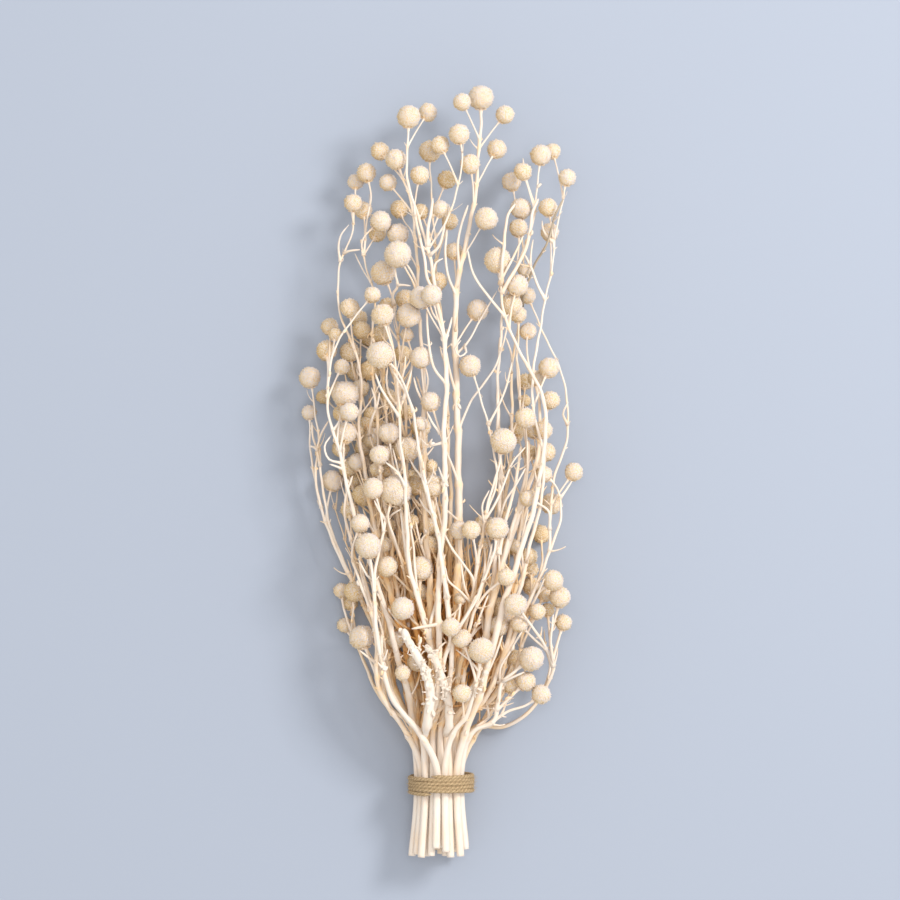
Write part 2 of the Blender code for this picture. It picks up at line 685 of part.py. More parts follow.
def tie_object():
    """The tie: a band turned round the bundle, with one flat-topped ridge for each turn of twine."""
    profile = [(TIE_INNER_RADIUS, TIE_HALF_WIDTH), (TIE_INNER_RADIUS, -TIE_HALF_WIDTH)]
    for turn in range(TIE_TURNS):
        middle = (turn + 0.5) * TWINE_DIAMETER - TIE_HALF_WIDTH
        profile.append((TIE_OUTER_RADIUS, middle - TWINE_CREST / 2))
        profile.append((TIE_OUTER_RADIUS, middle + TWINE_CREST / 2))
        if turn < TIE_TURNS - 1:
            profile.append((TIE_OUTER_RADIUS - TWINE_GROOVE, middle + TWINE_DIAMETER / 2))
    corners = []
    for angle in ring_places(TIE_SIDES):
        for radius, along in profile:
            corner = (radius * math.cos(angle), TIE_Y + along, TIE_HEIGHT + radius * math.sin(angle))
            corners.append([value * METRES for value in corner])
    faces = []
    for side in range(TIE_SIDES):
        beyond = (side + 1) % TIE_SIDES * len(profile) - side * len(profile)
        for place in range(len(profile)):
            here = side * len(profile) + place
            beside = side * len(profile) + (place + 1) % len(profile)
            faces.append((here, beside, beside + beyond, here + beyond))
    mesh = bpy.data.meshes.new("tie")
    mesh.from_pydata(corners, [], faces)
    mesh.materials.append(material("tie", TWINE_TAN, 0.95))
    link("tie", mesh)


def main():
    for leftover in list(bpy.data.objects):
        bpy.data.objects.remove(leftover)
    bunch = grow_bunch()
    settle(bunch)
    random = np.random.default_rng(11)
    for number in range(len(SPRAYS)):
        spray_object(bunch, number, random)
    tie_object()


main()
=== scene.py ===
"""Dresses a bunch of bleached, dried button-head branches, tied with twine and lying on a pale floor.

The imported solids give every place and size. Here each spray gets round, knotty wood with spurs and
curled husks, and heads covered in tiny florets, and the tie becomes wound three-strand twine.
Lengths are in millimetres, and each mesh is scaled to metres as it is made.
"""

import json
import math
from collections import namedtuple

import bpy
import numpy as np
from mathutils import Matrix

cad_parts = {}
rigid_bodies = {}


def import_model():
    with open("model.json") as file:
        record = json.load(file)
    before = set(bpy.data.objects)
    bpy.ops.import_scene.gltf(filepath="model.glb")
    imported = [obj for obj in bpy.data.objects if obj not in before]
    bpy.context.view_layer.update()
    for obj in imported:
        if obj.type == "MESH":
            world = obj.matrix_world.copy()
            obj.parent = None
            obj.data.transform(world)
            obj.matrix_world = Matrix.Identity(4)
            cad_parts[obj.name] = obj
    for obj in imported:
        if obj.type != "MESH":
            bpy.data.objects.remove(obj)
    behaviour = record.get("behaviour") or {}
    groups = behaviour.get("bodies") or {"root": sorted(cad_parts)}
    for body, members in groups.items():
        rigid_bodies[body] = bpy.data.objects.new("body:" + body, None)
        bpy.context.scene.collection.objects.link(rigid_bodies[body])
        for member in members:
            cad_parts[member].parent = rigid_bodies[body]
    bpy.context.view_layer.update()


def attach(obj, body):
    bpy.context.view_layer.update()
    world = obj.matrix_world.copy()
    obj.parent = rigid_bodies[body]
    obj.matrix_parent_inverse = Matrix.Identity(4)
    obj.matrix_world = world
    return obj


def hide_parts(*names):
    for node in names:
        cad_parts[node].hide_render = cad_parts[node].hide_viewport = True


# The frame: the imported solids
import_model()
METRES = 0.001

# The camera. It looks straight down with the tips away from it, from far enough to see little
# perspective. Half way up the pile, one of the picture's 900 pixels is half a millimetre.
CAMERA_X = 4.5
CAMERA_Y = 11.5
PILE_MIDDLE = 28.0
CAMERA_DISTANCE = 2000.0
PICTURE_WIDTH = 450.0
camera_data = bpy.data.cameras.new("camera")
camera_data.sensor_width = 36
camera_data.lens = camera_data.sensor_width * CAMERA_DISTANCE / PICTURE_WIDTH
camera = bpy.data.objects.new("camera", camera_data)
camera.location = np.array((CAMERA_X, CAMERA_Y, PILE_MIDDLE + CAMERA_DISTANCE)) * METRES
bpy.context.scene.collection.objects.link(camera)
bpy.context.scene.camera = camera

# How the sprays lie. Each of the 34 sprays grew from one woody stem, and all their stems run side by
# side through the tie. Their skeleton is grown and bent here exactly as the solids' was, so
# everything below sits where the solids are.

# Seen from above, places are (across, down) in steps of half a millimetre
PLAN_STEP = 0.5
PLAN_CENTRE_ACROSS = 441
PLAN_CENTRE_DOWN = 473

# Height of the pile: level 1 lies on the surface, level 9 is the top of it
LEVEL_ONE_HEIGHT = 5.5
LEVEL_STEP = 5.0

# The tie and the bundle of stems in it
TIE_Y = -156.0
TIE_TURNS = 5
TWINE_DIAMETER = 2.2
TIE_SIDES = 16
TIE_CLEARANCE = 0.3
BUNDLE_ROWS = (4, 5, 6, 7, 6, 5, 4)
STEM_PITCH = 4.0
TIED_RADIUS = 2.2
BENDING_RADIUS = 1.8
TIE_MARGIN = 2.0
SHOULDER_LENGTH = 20.0
SHOULDER_SPREAD = 0.45
CUT_END_Y = -190.0
CUT_END_SCATTER = 2.5
CUT_END_TURN = 2.4
CUT_END_FLARE = 1.22
RISE_LENGTH = 70.0

# Stems, forks and twigs. A stem rises and thins towards its tip by these powers of the share of the
# way. A twig leaves its limb where its reach and its angle come nearest to these, in steps of the
# spreads. Its curve's two handles are this share of its length, and lean by the other shares.
TIP_RADIUS = 0.65
TIP_RISE_POWER = 3
TAPER_POWER = 1.6
FORK_RADIUS = 1.0
TWIG_ROOT_RADIUS = 0.85
TWIG_TIP_RADIUS = 0.6
TWIG_REACH = 17.0
TWIG_REACH_SPREAD = 14.0
TWIG_ANGLE = math.radians(32)
TWIG_ANGLE_SPREAD = 0.5
LEAVING = (0.36, 0.6, 0.5)
ARRIVING = (0.34, 0.55, 0.5)
SHORT_TWIG = 26.0
LOWEST_TWIG_Y = TIE_Y + 20.0
TWIG_CLEAR_OF_HEAD = 5.0

# Clear air between two sprays, the passes that bend them apart, how far points give way in x, y and
# z, and how hard they are drawn back to where they grew
CLEARANCE = 0.5
BENDING_PASSES = 420
FREE_PASSES = 120
PASSES_PER_SEARCH = 10
SEARCH_MARGIN = 2.5
GIVE = (0.30, 0.30, 1.0)
HEAD_GIVE = 0.06
PULL = (0.10, 0.10, 0.012)
HEAD_PULL = 0.25
SMOOTHING = 0.22

# Each spray: its level, its stem's diameter, its limbs and its further heads. A limb runs
# outwards and ends in its own head, (across, down, radius, level), or with radius 0 in a bare
# tip. The first limb is the stem, from the tie up. The further heads stand on twigs.
Spray = namedtuple("Spray", "level diameter limbs heads")
SPRAYS = (
    Spray(1.0, 2.6, [
        [(383, 706), (371, 686), (363, 668), (356, 650), (344, 627, 7.5, 1)],
    ], [(354, 592, 10, 4), (340, 592, 7.5, 1), (349, 604, 8, 1)]),
    Spray(3.0, 3.0, [
        [(398, 700), (385, 660), (349, 575), (328, 534), (317, 498), (308, 412, 7.5, 3)],
        [(349, 575), (325, 510), (318, 430), (309, 377, 10.5, 3)],
    ], [(332, 481, 10.5, 2)]),
    Spray(7.0, 3.4, [
        [(410, 700), (383, 600), (366, 550), (343, 467), (329, 405), (331, 371), (338, 343),
         (373, 296, 8, 8)],
    ], [
        (326, 350, 10, 5), (335, 334, 6.5, 4), (329, 326, 8.5, 3), (342, 367, 7.8, 6), (350, 412, 9, 8),
        (345, 433, 8.5, 5), (345, 394, 13, 7),
    ]),
    Spray(6.0, 3.2, [
        [(415, 700), (391, 600), (367, 490), (360, 430), (361, 380), (339, 302), (341, 262), (350, 238),
         (353, 203, 8.7, 4)],
        [(341, 262), (339, 246), (341, 236), (349, 225, 0, 6)],
    ], [(350, 308, 9.5, 6), (355, 432, 8, 5), (357, 462, 8.5, 5), (355, 180, 8, 3)]),
    Spray(1.5, 3.0, [
        [(412, 700), (402, 640), (390, 580), (377, 520), (366, 450), (355, 371, 9, 1)],
    ], [(349, 351, 9.5, 2), (361, 329, 9, 2), (363, 447, 9, 2), (363, 495, 11, 3), (322, 396, 7, 1)]),
    Spray(7.5, 2.8, [
        [(385, 700), (371, 611), (360, 580), (354, 551), (361, 523, 9, 8)],
    ], [(362, 637, 12, 6)]),
    Spray(9.0, 3.0, [
        [(395, 700), (376, 610), (377, 570), (383, 530), (396, 491, 12.2, 8)],
    ], [(374, 488, 10, 8), (369, 545, 12.2, 9)]),
    Spray(5.0, 3.4, [
        [(436, 700), (421, 621), (388, 516), (380, 472), (380, 455, 9.5, 8)],
    ], [(377, 469, 7, 5), (388, 566, 9.8, 8), (388, 526, 7, 3), (396, 640, 8.3, 6)]),
    Spray(6.5, 3.4, [
        [(433, 700), (430, 640), (405, 550), (400, 509), (389, 433, 10, 8)],
    ], [(407, 449, 10.5, 6), (403, 607, 11, 9)]),
    Spray(2.5, 3.4, [
        [(424, 700), (410, 600), (400, 550), (395, 500), (385, 420), (383, 380), (388, 306, 8.5, 5)],
    ], [(380, 333, 9, 2), (369, 369, 10, 2), (368, 336, 9, 1), (404, 673, 9, 3), (373, 438, 10, 4)]),
    Spray(8.0, 3.2, [
        [(440, 700), (432, 650), (412, 560), (403, 455), (394, 360), (383, 316, 10.8, 9)],
        [(398, 412), (405, 390), (412, 362), (407, 335, 6.5, 6)],
    ], [(416, 662, 9, 6)]),
    Spray(8.8, 3.2, [
        [(447, 700), (446, 585), (426, 484), (410, 402), (397, 372), (381, 356, 12.7, 9)],
    ], [(421, 427, 9.5, 6), (417, 485, 10, 3)]),
    Spray(5.5, 3.2, [
        [(427, 700), (421, 640), (413, 580), (409, 520), (407, 460), (400, 345), (394, 305),
         (383, 273, 12, 6)],
    ], [(405, 298, 9.5, 3), (409, 316, 11.8, 7)]),
    Spray(7.0, 3.8, [
        [(431, 700), (431, 640), (430, 580), (426, 520), (424, 460), (421, 350), (416, 260), (406, 184),
         (396, 160, 10, 6)],
        [(419, 322), (414, 285), (405, 268), (398, 256, 13, 9)],
    ], [
        (398, 234, 10.3, 5), (399, 207, 9, 2), (421, 358, 10.5, 8), (388, 182, 8.5, 5),
        (420, 176, 9, 7), (380, 150, 9, 4),
    ]),
    Spray(8.0, 3.0, [
        [(443, 700), (436, 660), (428, 625), (421, 595), (421, 568, 11.5, 8)],
    ], [(430, 545, 10, 3), (429, 527, 8.5, 3)]),
    Spray(8.5, 4.6, [
        [(438, 700), (438, 640), (439, 575), (440, 510), (442, 450), (443, 345), (430, 260), (409, 185),
         (409, 118, 11, 7)],
        [(430, 249), (446, 222), (456, 196), (462, 166), (459, 136, 10, 8)],
    ], [
        (434, 486, 9.5, 8), (431, 402, 9.5, 8), (441, 210, 8.5, 7), (432, 297, 10, 9),
        (421, 299, 11, 8), (431, 466, 6.5, 6), (428, 112, 9, 5), (440, 146, 9, 7),
    ]),
    Spray(3.0, 3.4, [
        [(449, 700), (448, 640), (450, 580), (450, 520), (449, 460), (448, 400), (440, 300), (431, 195),
         (430, 150, 10.5, 4)],
    ], [(438, 281, 9, 4), (450, 220, 8, 3), (420, 210, 8, 3), (447, 178, 9, 3)]),
    Spray(6.5, 4.4, [
        [(452, 700), (456, 640), (459, 570), (458, 510), (459, 440), (455, 375), (460, 270), (477, 185),
         (481, 98, 12, 6)],
        [(459, 432), (465, 413), (497, 363), (511, 305, 10.5, 6)],
        [(455, 354), (467, 344), (480, 320), (497, 291, 0, 6)],
    ], [
        (454, 251, 8.5, 5), (486, 220, 11, 8), (478, 310, 10.5, 6), (459, 530, 9, 7),
        (497, 148, 9.5, 4), (462, 104, 8.5, 8), (470, 165, 9.5, 7), (505, 115, 9, 6),
    ]),
    Spray(8.5, 2.8, [
        [(442, 700), (446, 655), (479, 592), (493, 558), (497, 528, 11, 8)],
    ], [(484, 525, 10, 4), (484, 544, 6, 5), (460, 598, 6, 7), (451, 625, 9, 9)]),
    Spray(7.0, 3.2, [
        [(464, 700), (466, 640), (472, 595), (491, 495), (503, 441, 12.5, 9)],
        [(489, 515), (497, 475), (490, 430), (470, 366, 10.5, 7)],
    ], [(471, 529, 9, 9)]),
    Spray(8.0, 3.8, [
        [(478, 700), (490, 650), (520, 550), (543, 455), (546, 424), (506, 318), (497, 261, 12.5, 8)],
    ], [(543, 430, 9, 6), (517, 286, 10.5, 6), (528, 331, 8.3, 5)]),
    Spray(6.0, 3.4, [
        [(472, 700), (490, 600), (497, 550), (499, 490), (499, 430), (498, 370), (503, 310), (528, 232),
         (541, 155, 10, 5)],
    ], [(519, 228, 9, 3), (525, 270, 7, 3), (523, 172, 8.5, 6)]),
    Spray(5.0, 3.0, [
        [(482, 700), (510, 600), (525, 500), (526, 450), (520, 400), (518, 314, 8.5, 6)],
    ], [(525, 418, 10, 8), (526, 381, 8, 0.5), (518, 430, 8.5, 2)]),
    Spray(8.0, 4.2, [
        [(474, 700), (491, 615), (516, 520), (540, 450), (536, 378, 8, 5)],
    ], [(546, 452, 9.5, 6), (551, 400, 9, 5)]),
    Spray(6.8, 2.8, [
        [(486, 700), (517, 600), (530, 550), (545, 465), (535, 385), (537, 345), (553, 266), (557, 222),
         (567, 178, 8.5, 5)],
    ], [(550, 232, 9, 5), (548, 208, 9, 6), (549, 368, 10, 5), (553, 150, 8, 4)]),
    Spray(5.8, 3.0, [
        [(494, 700), (512, 650), (544, 567), (562, 510), (557, 487), (544, 474, 8, 6)],
        [(548, 550), (553, 475), (564, 440), (567, 410), (558, 362), (540, 328), (528, 295, 8, 4)],
        [(552, 530), (548, 512), (536, 503), (528, 498, 8, 8)],
    ], [(574, 472, 9, 5), (542, 535, 9, 0.5)]),
    Spray(5.2, 2.8, [
        [(490, 700), (517, 600), (524, 525), (535, 509), (552, 504, 10.3, 4)],
    ], [(529, 557, 8.5, 4), (514, 548, 8, 0.5)]),
    Spray(5.0, 2.6, [
        [(498, 700), (513, 668), (527, 612), (538, 594), (553, 580, 10, 6)],
    ], [(546, 596, 8, 3), (537, 611, 8, 6), (532, 587, 9, 2), (531, 570, 8, 4)]),
    Spray(4.0, 2.4, [
        [(503, 730), (547, 690), (554, 672), (551, 640), (560, 597, 10.5, 6)],
        [(554, 668), (545, 646), (532, 626), (515, 603, 11, 9)],
    ], [(564, 623, 8.2, 4), (548, 610, 7, 3), (519, 623, 8.5, 8)]),
    Spray(7.0, 2.8, [
        [(492, 722), (498, 700), (502, 682), (516, 670), (531, 658, 12, 7)],
    ], [(526, 681, 9.5, 6), (541, 694, 9.5, 6), (515, 660, 9, 3)]),
    Spray(9.0, 2.8, [
        [(467, 715), (474, 690), (478, 668), (481, 648, 12.5, 9)],
    ], [(462, 637, 9, 9)]),
    Spray(7.2, 2.8, [
        [(456, 700), (462, 660), (477, 605), (491, 588), (506, 576, 8.5, 8)],
    ], [(501, 607, 9, 3), (505, 624, 9, 3)]),
    Spray(2.5, 3.2, [
        [(470, 700), (483, 640), (496, 580), (505, 520), (510, 460), (515, 350), (522, 300), (524, 250),
         (521, 208, 10.5, 3)],
    ], [(526, 400, 6, 0.5), (512, 180, 9.5, 3)]),
    Spray(4.5, 3.0, [
        [(418, 700), (407, 640), (396, 580), (388, 520), (380, 450), (372, 350), (375, 300), (365, 265),
         (362, 240), (381, 222, 10.2, 6)],
        [(363, 256), (367, 225), (371, 195), (366, 172, 9.5, 4)],
    ], [(363, 209, 8.5, 3), (377, 232, 8.5, 3)]),
)

# The ring round the bundle, and the height of its middle when its lowest side lies on z = 0
BUNDLE_RADIUS = STEM_PITCH * (len(BUNDLE_ROWS) // 2) + TIED_RADIUS
TIE_INNER_RADIUS = (BUNDLE_RADIUS + TIE_CLEARANCE) / math.cos(math.pi / TIE_SIDES)
TIE_OUTER_RADIUS = TIE_INNER_RADIUS + TWINE_DIAMETER
TIE_HEIGHT = TIE_OUTER_RADIUS * math.cos(math.pi / TIE_SIDES)
TIE_HALF_WIDTH = TIE_TURNS * TWINE_DIAMETER / 2


def plan_place(across, down):
    """x and y of a place in the plan: its steps from the plan's centre, with y the other way up."""
    return (across - PLAN_CENTRE_ACROSS) * PLAN_STEP, (PLAN_CENTRE_DOWN - down) * PLAN_STEP


def level_height(level):
    """The height of a level: that of level one, and one step more for each level above it."""
    return LEVEL_ONE_HEIGHT + (level - 1) * LEVEL_STEP


def eased(share):
    """A share of the way that starts and ends gently: share squared, times 3 less twice the share."""
    return share * share * (3 - 2 * share)


def bundle_places():
    """Centres (x, z) of the stems in the tie: close-packed rows, those nearest its middle kept."""
    row_height = STEM_PITCH * math.sqrt(3) / 2
    middle_row = len(BUNDLE_ROWS) // 2
    places = []
    for row, count in enumerate(BUNDLE_ROWS):
        for place in range(count):
            x = (place - (count - 1) / 2) * STEM_PITCH
            z = (row - middle_row) * row_height
            places.append((row, x, z))
    places.sort(key=lambda place: round(math.hypot(place[1], place[2]), 3))
    return sorted(places[: len(SPRAYS)])


def stem_places():
    """Each spray's place in the tie: low sprays in the low rows, and each row from left to right."""
    waiting = sorted(range(len(SPRAYS)), key=lambda number: SPRAYS[number].level)
    places = bundle_places()
    found = {}
    for row in range(len(BUNDLE_ROWS)):
        row_places = [place for place in places if place[0] == row]
        members = waiting[: len(row_places)]
        waiting = waiting[len(row_places):]
        members.sort(key=lambda number: SPRAYS[number].limbs[0][0][0])
        for number, (_, x, z) in zip(members, row_places):
            found[number] = (x, TIE_HEIGHT + z)
    return found


class Bunch:
    """The skeleton of the sprays: points with radii, the strands through them, and the heads."""

    def __init__(self):
        self.points = []
        self.radii = []
        self.held = []
        self.strands = []
        self.heads = []

    def add_strand(self, spray, points, radii, held=0, root=None):
        """A strand of points. A rooted one starts at (point, share) of another strand's segment."""
        first = len(self.points)
        self.points.extend(points)
        self.radii.extend(radii)
        self.held.extend(index < held for index in range(len(points)))
        ids = list(range(first, len(self.points)))
        strand = {"spray": spray, "ids": ids, "root": root, "number": len(self.strands)}
        self.strands.append(strand)
        return strand

    def add_head(self, strand, radius):
        """A head round the last point of a strand."""
        self.heads.append({"strand": strand, "id": strand["ids"][-1], "radius": radius})

    def meets_own_head(self, strand, place):
        """Whether a twig that left a strand here would meet the head at that strand's end."""
        for head in self.heads:
            if head["strand"] is strand:
                gap = np.linalg.norm(place - np.array(self.points[head["id"]]))
                return gap < head["radius"] + TWIG_CLEAR_OF_HEAD
        return False

    def along(self, strand):
        """Places on a strand, each as (segment's first point, share, place, direction)."""
        samples = []
        for first, second in zip(strand["ids"], strand["ids"][1:]):
            start = np.array(self.points[first])
            run = np.array(self.points[second]) - start
            length = np.linalg.norm(run)
            steps = max(2, int(length / SEARCH_MARGIN))
            for step in range(steps):
                share = step / steps
                samples.append((first, share, start + share * run, run / length))
        return samples


def grow_stem(bunch, number, place):
    """The stem: from its cut end through the tie, up to its level, and out to its tip."""
    spray = SPRAYS[number]
    limb = spray.limbs[0]
    thickest = spray.diameter / 2
    x, z = place
    scatter = CUT_END_SCATTER * math.sin(number * CUT_END_TURN)
    end_z = max(TIE_HEIGHT + (z - TIE_HEIGHT) * CUT_END_FLARE, TIED_RADIUS)
    points = [
        (x * CUT_END_FLARE, CUT_END_Y + scatter, end_z),
        (x, TIE_Y - TIE_HALF_WIDTH - TIE_MARGIN, z),
        (x, TIE_Y + TIE_HALF_WIDTH + TIE_MARGIN, z),
    ]
    radii = [TIED_RADIUS] * len(points)
    held = len(points)
    first_x, _ = plan_place(*limb[0][:2])
    shoulder = (x + (first_x - x) * SHOULDER_SPREAD, points[-1][1] + SHOULDER_LENGTH)
    tip_x, tip_y = plan_place(*limb[-1][:2])
    reach = math.hypot(tip_x - x, tip_y - TIE_Y)
    low = level_height(spray.level)
    tip_rise = level_height(limb[-1][3]) - low
    for px, py in [shoulder] + [plan_place(*entry[:2]) for entry in limb]:
        risen = eased(min(1.0, (py - TIE_Y) / RISE_LENGTH))
        share = math.hypot(px - x, py - TIE_Y) / reach
        points.append((px, py, z + (low + tip_rise * share ** TIP_RISE_POWER - z) * risen))
        radii.append(thickest + (TIP_RADIUS - thickest) * share ** TAPER_POWER)
    strand = bunch.add_strand(number, points, radii, held=held)
    if limb[-1][2]:
        bunch.add_head(strand, limb[-1][2] * PLAN_STEP)
    return strand


def grow_fork(bunch, number, limb, parents):
    """A fork: it leaves the nearest place of an earlier limb and runs to its head or bare tip."""
    x, y = plan_place(*limb[0])
    samples = [sample for parent in parents for sample in bunch.along(parent)]
    gaps = [math.hypot(place[0] - x, place[1] - y) for _, _, place, _ in samples]
    first, share, place, _ = samples[gaps.index(min(gaps))]
    rise = level_height(limb[-1][3]) - place[2]
    points = [tuple(place)]
    radii = [FORK_RADIUS]
    for index, entry in enumerate(limb[1:], 1):
        done = index / (len(limb) - 1)
        x, y = plan_place(*entry[:2])
        points.append((x, y, place[2] + rise * done))
        radii.append(FORK_RADIUS + (TIP_RADIUS - FORK_RADIUS) * done)
    strand = bunch.add_strand(number, points, radii, root=(first, share))
    if limb[-1][2]:
        bunch.add_head(strand, limb[-1][2] * PLAN_STEP)
    return strand


def grow_twig(bunch, number, head, parents):
    """A twig: it leaves a limb below its head at a narrow angle and bends up into the head.

    Its curve is a cubic with two handles: u^3 place + 3 u^2 t leave + 3 u t^2 arrive + t^3 centre,
    where t is the share of the way and u = 1 - t.
    """
    x, y = plan_place(*head[:2])
    radius = head[2] * PLAN_STEP
    centre = np.array((x, y, level_height(head[3])))
    choices = []
    for parent in parents:
        for first, share, place, direction in bunch.along(parent):
            if place[1] < LOWEST_TWIG_Y or bunch.meets_own_head(parent, place):
                continue
            length = np.linalg.norm(centre - place)
            lean = ((centre - place) * direction).sum() / length
            angle = math.acos(max(-1.0, min(1.0, lean)))
            cost = abs(angle - TWIG_ANGLE) / TWIG_ANGLE_SPREAD
            cost += abs(length - TWIG_REACH - radius) / TWIG_REACH_SPREAD
            choices.append((cost, len(choices), first, share, place, direction, length))
    _, _, first, share, place, direction, length = min(choices)
    straight = (centre - place) / length
    up = np.array((0.0, 1.0, 0.0))
    handle, on, ahead = LEAVING
    leave = place + handle * length * (on * direction + ahead * straight)
    handle, ahead, upright = ARRIVING
    arrive = centre - handle * length * (ahead * straight + upright * up)
    segments = 2 if length < SHORT_TWIG else 3
    points = []
    radii = []
    for index in range(segments + 1):
        t = index / segments
        u = 1 - t
        point = u ** 3 * place + 3 * u * u * t * leave + 3 * u * t * t * arrive + t ** 3 * centre
        points.append(tuple(point))
        radii.append(TWIG_ROOT_RADIUS + (TWIG_TIP_RADIUS - TWIG_ROOT_RADIUS) * t)
    strand = bunch.add_strand(number, points, radii, root=(first, share))
    bunch.add_head(strand, radius)


def grow_bunch():
    """All sprays as they lie in plan and by level, before they are bent clear of one another."""
    bunch = Bunch()
    places = stem_places()
    for number, spray in enumerate(SPRAYS):
        limbs = [grow_stem(bunch, number, places[number])]
        for limb in spray.limbs[1:]:
            limbs.append(grow_fork(bunch, number, limb, limbs))
        for head in spray.heads:
            grow_twig(bunch, number, head, limbs)
    return bunch


def nearest(a, b, c, d):
    """Shares s and t of the nearest places of segments a-b and c-d, for whole arrays of pairs."""
    ab = b - a
    cd = d - c
    ca = a - c
    ab_ab = np.maximum((ab * ab).sum(1), 1e-9)
    cd_cd = np.maximum((cd * cd).sum(1), 1e-9)
    ab_cd = (ab * cd).sum(1)
    ab_ca = (ab * ca).sum(1)
    cd_ca = (cd * ca).sum(1)
    square = np.maximum(ab_ab * cd_cd - ab_cd * ab_cd, 1e-9)
    s = np.clip((ab_cd * cd_ca - ab_ca * cd_cd) / square, 0, 1)
    t = np.clip((ab_cd * s + cd_ca) / cd_cd, 0, 1)
    s = np.clip((ab_cd * t - ab_ca) / ab_ab, 0, 1)
    return s, t


def segments_of(bunch):
    """Every stretch of a strand as a segment with two radii, then every head as one of no length."""
    rows = []
    radii = [min(radius, BENDING_RADIUS) for radius in bunch.radii]
    for strand in bunch.strands:
        for low, high in zip(strand["ids"], strand["ids"][1:]):
            rows.append((low, high, radii[low], radii[high], strand["spray"], strand["number"], False))
    for head in bunch.heads:
        place = head["id"]
        strand = head["strand"]
        size = head["radius"]
        rows.append((place, place, size, size, strand["spray"], strand["number"], True))
    return [np.array(column) for column in zip(*rows)]


def settle(bunch):
    """Bends the sprays clear of one another and of the surface, mostly up and down.

    Each pass pushes every pair of segments that is too close apart along the line between their
    nearest places, eases each point towards where it grew, and smooths the bends. Points give way
    in height before they give way in plan, and heads move least. The tied ends are held, and the
    root of a fork or twig stays on its limb. The last passes only push.
    """
    first, second, low_radius, high_radius, spray, strand, is_head = segments_of(bunch)
    radius = np.maximum(low_radius, high_radius)
    grown = np.array(bunch.points)
    points = grown.copy()
    held = np.array(bunch.held)
    head_ids = np.array([head["id"] for head in bunch.heads])
    floor = np.array(bunch.radii)
    floor[head_ids] = [head["radius"] for head in bunch.heads]

    give = np.tile(GIVE, (len(points), 1))
    give[head_ids, :2] = HEAD_GIVE
    give[held] = 0
    pull = np.tile(PULL, (len(points), 1))
    pull[head_ids, :2] = HEAD_PULL
    pull[held] = 0
    inner = np.concatenate([one["ids"][1:-1] for one in bunch.strands])
    inner = inner[~held[inner]]

    rooted = [one for one in bunch.strands if one["root"]]
    root_ids = np.array([one["ids"][0] for one in rooted])
    root_first = np.array([one["root"][0] for one in rooted])
    root_share = np.array([one["root"][1] for one in rooted])[:, None]

    left, right = np.triu_indices(len(first), 1)
    apart = spray[left] != spray[right]
    apart |= (is_head[left] | is_head[right]) & (strand[left] != strand[right])
    left, right = left[apart], right[apart]

    for step in range(BENDING_PASSES + FREE_PASSES):
        if step % PASSES_PER_SEARCH == 0:
            middle = (points[first] + points[second]) / 2
            half = np.sqrt(((points[first] - points[second]) ** 2).sum(1)) / 2 + radius
            span = half[left] + half[right] + CLEARANCE + SEARCH_MARGIN
            near = ((middle[left] - middle[right]) ** 2).sum(1) < span ** 2
            one, two = left[near], right[near]
        a, b, c, d = first[one], second[one], first[two], second[two]
        s, t = nearest(points[a], points[b], points[c], points[d])
        away = points[a] * (1 - s)[:, None] + points[b] * s[:, None]
        away = away - points[c] * (1 - t)[:, None] - points[d] * t[:, None]
        distance = np.maximum(np.sqrt((away * away).sum(1)), 1e-6)
        wanted = CLEARANCE + (low_radius[one] * (1 - s) + high_radius[one] * s)
        wanted = wanted + low_radius[two] * (1 - t) + high_radius[two] * t
        close = distance < wanted
        away = away[close] / distance[close, None]
        short = (wanted - distance)[close]
        s, t = s[close, None], t[close, None]
        ends = ((a[close], 1 - s, 1.0), (b[close], s, 1.0), (c[close], 1 - t, -1.0), (d[close], t, -1.0))
        ease = sum((give[ids] * away * away).sum(1) * share[:, 0] ** 2 for ids, share, _ in ends)
        push = away * (short / np.maximum(ease, 1e-3))[:, None]
        moves = np.zeros_like(points)
        weights = np.zeros(len(points))
        for ids, share, sign in ends:
            np.add.at(moves, ids, sign * share * give[ids] * push)
            np.add.at(weights, ids, share[:, 0])
        points += moves / np.maximum(weights, 1.0)[:, None]
        if step < BENDING_PASSES:
            points -= pull * (points - grown)
            shift = points - grown
            beside = (shift[inner - 1] + shift[inner + 1]) / 2
            points[inner] += SMOOTHING * (beside - shift[inner])
        points[:, 2] = np.maximum(points[:, 2], floor)
        points[held] = grown[held]
        points[root_ids] = points[root_first] * (1 - root_share) + points[root_first + 1] * root_share
    bunch.points = points


# A head's florets stand a little proud of its solid
HEAD_FULLNESS = 1.05

bunch = grow_bunch()
settle(bunch)
skeleton = np.array(bunch.points)
skeleton_radii = np.array(bunch.radii)
head_centres = skeleton[[head["id"] for head in bunch.heads]]
head_radii = np.array([head["radius"] for head in bunch.heads]) * HEAD_FULLNESS

# The wood: stems, forks and twigs of pale, bleached wood, peeled of its bark. It is round with
# shallow flutes, sways a little, swells at each knot and flares into the limb that carries it.
RING_SPACING = 1.5
BARE_RING_SPACING = 2.0
FEWEST_RINGS = 6
STEM_RING_SIDES = 10
TWIG_RING_SIDES = 7
BARE_RING_SIDES = 6
SQUARING = np.array(((0.0, 0.0, 1.0), (1.0, 0.0, 0.0), (0.7, 0.0, -0.7), (0.7, 0.0, 0.7)))

# Flutes: depth as a share of the radius, how many round the limb, and the length of a radian's turn
FLUTES = ((0.05, 3, 25.0), (0.035, 5, -14.0))

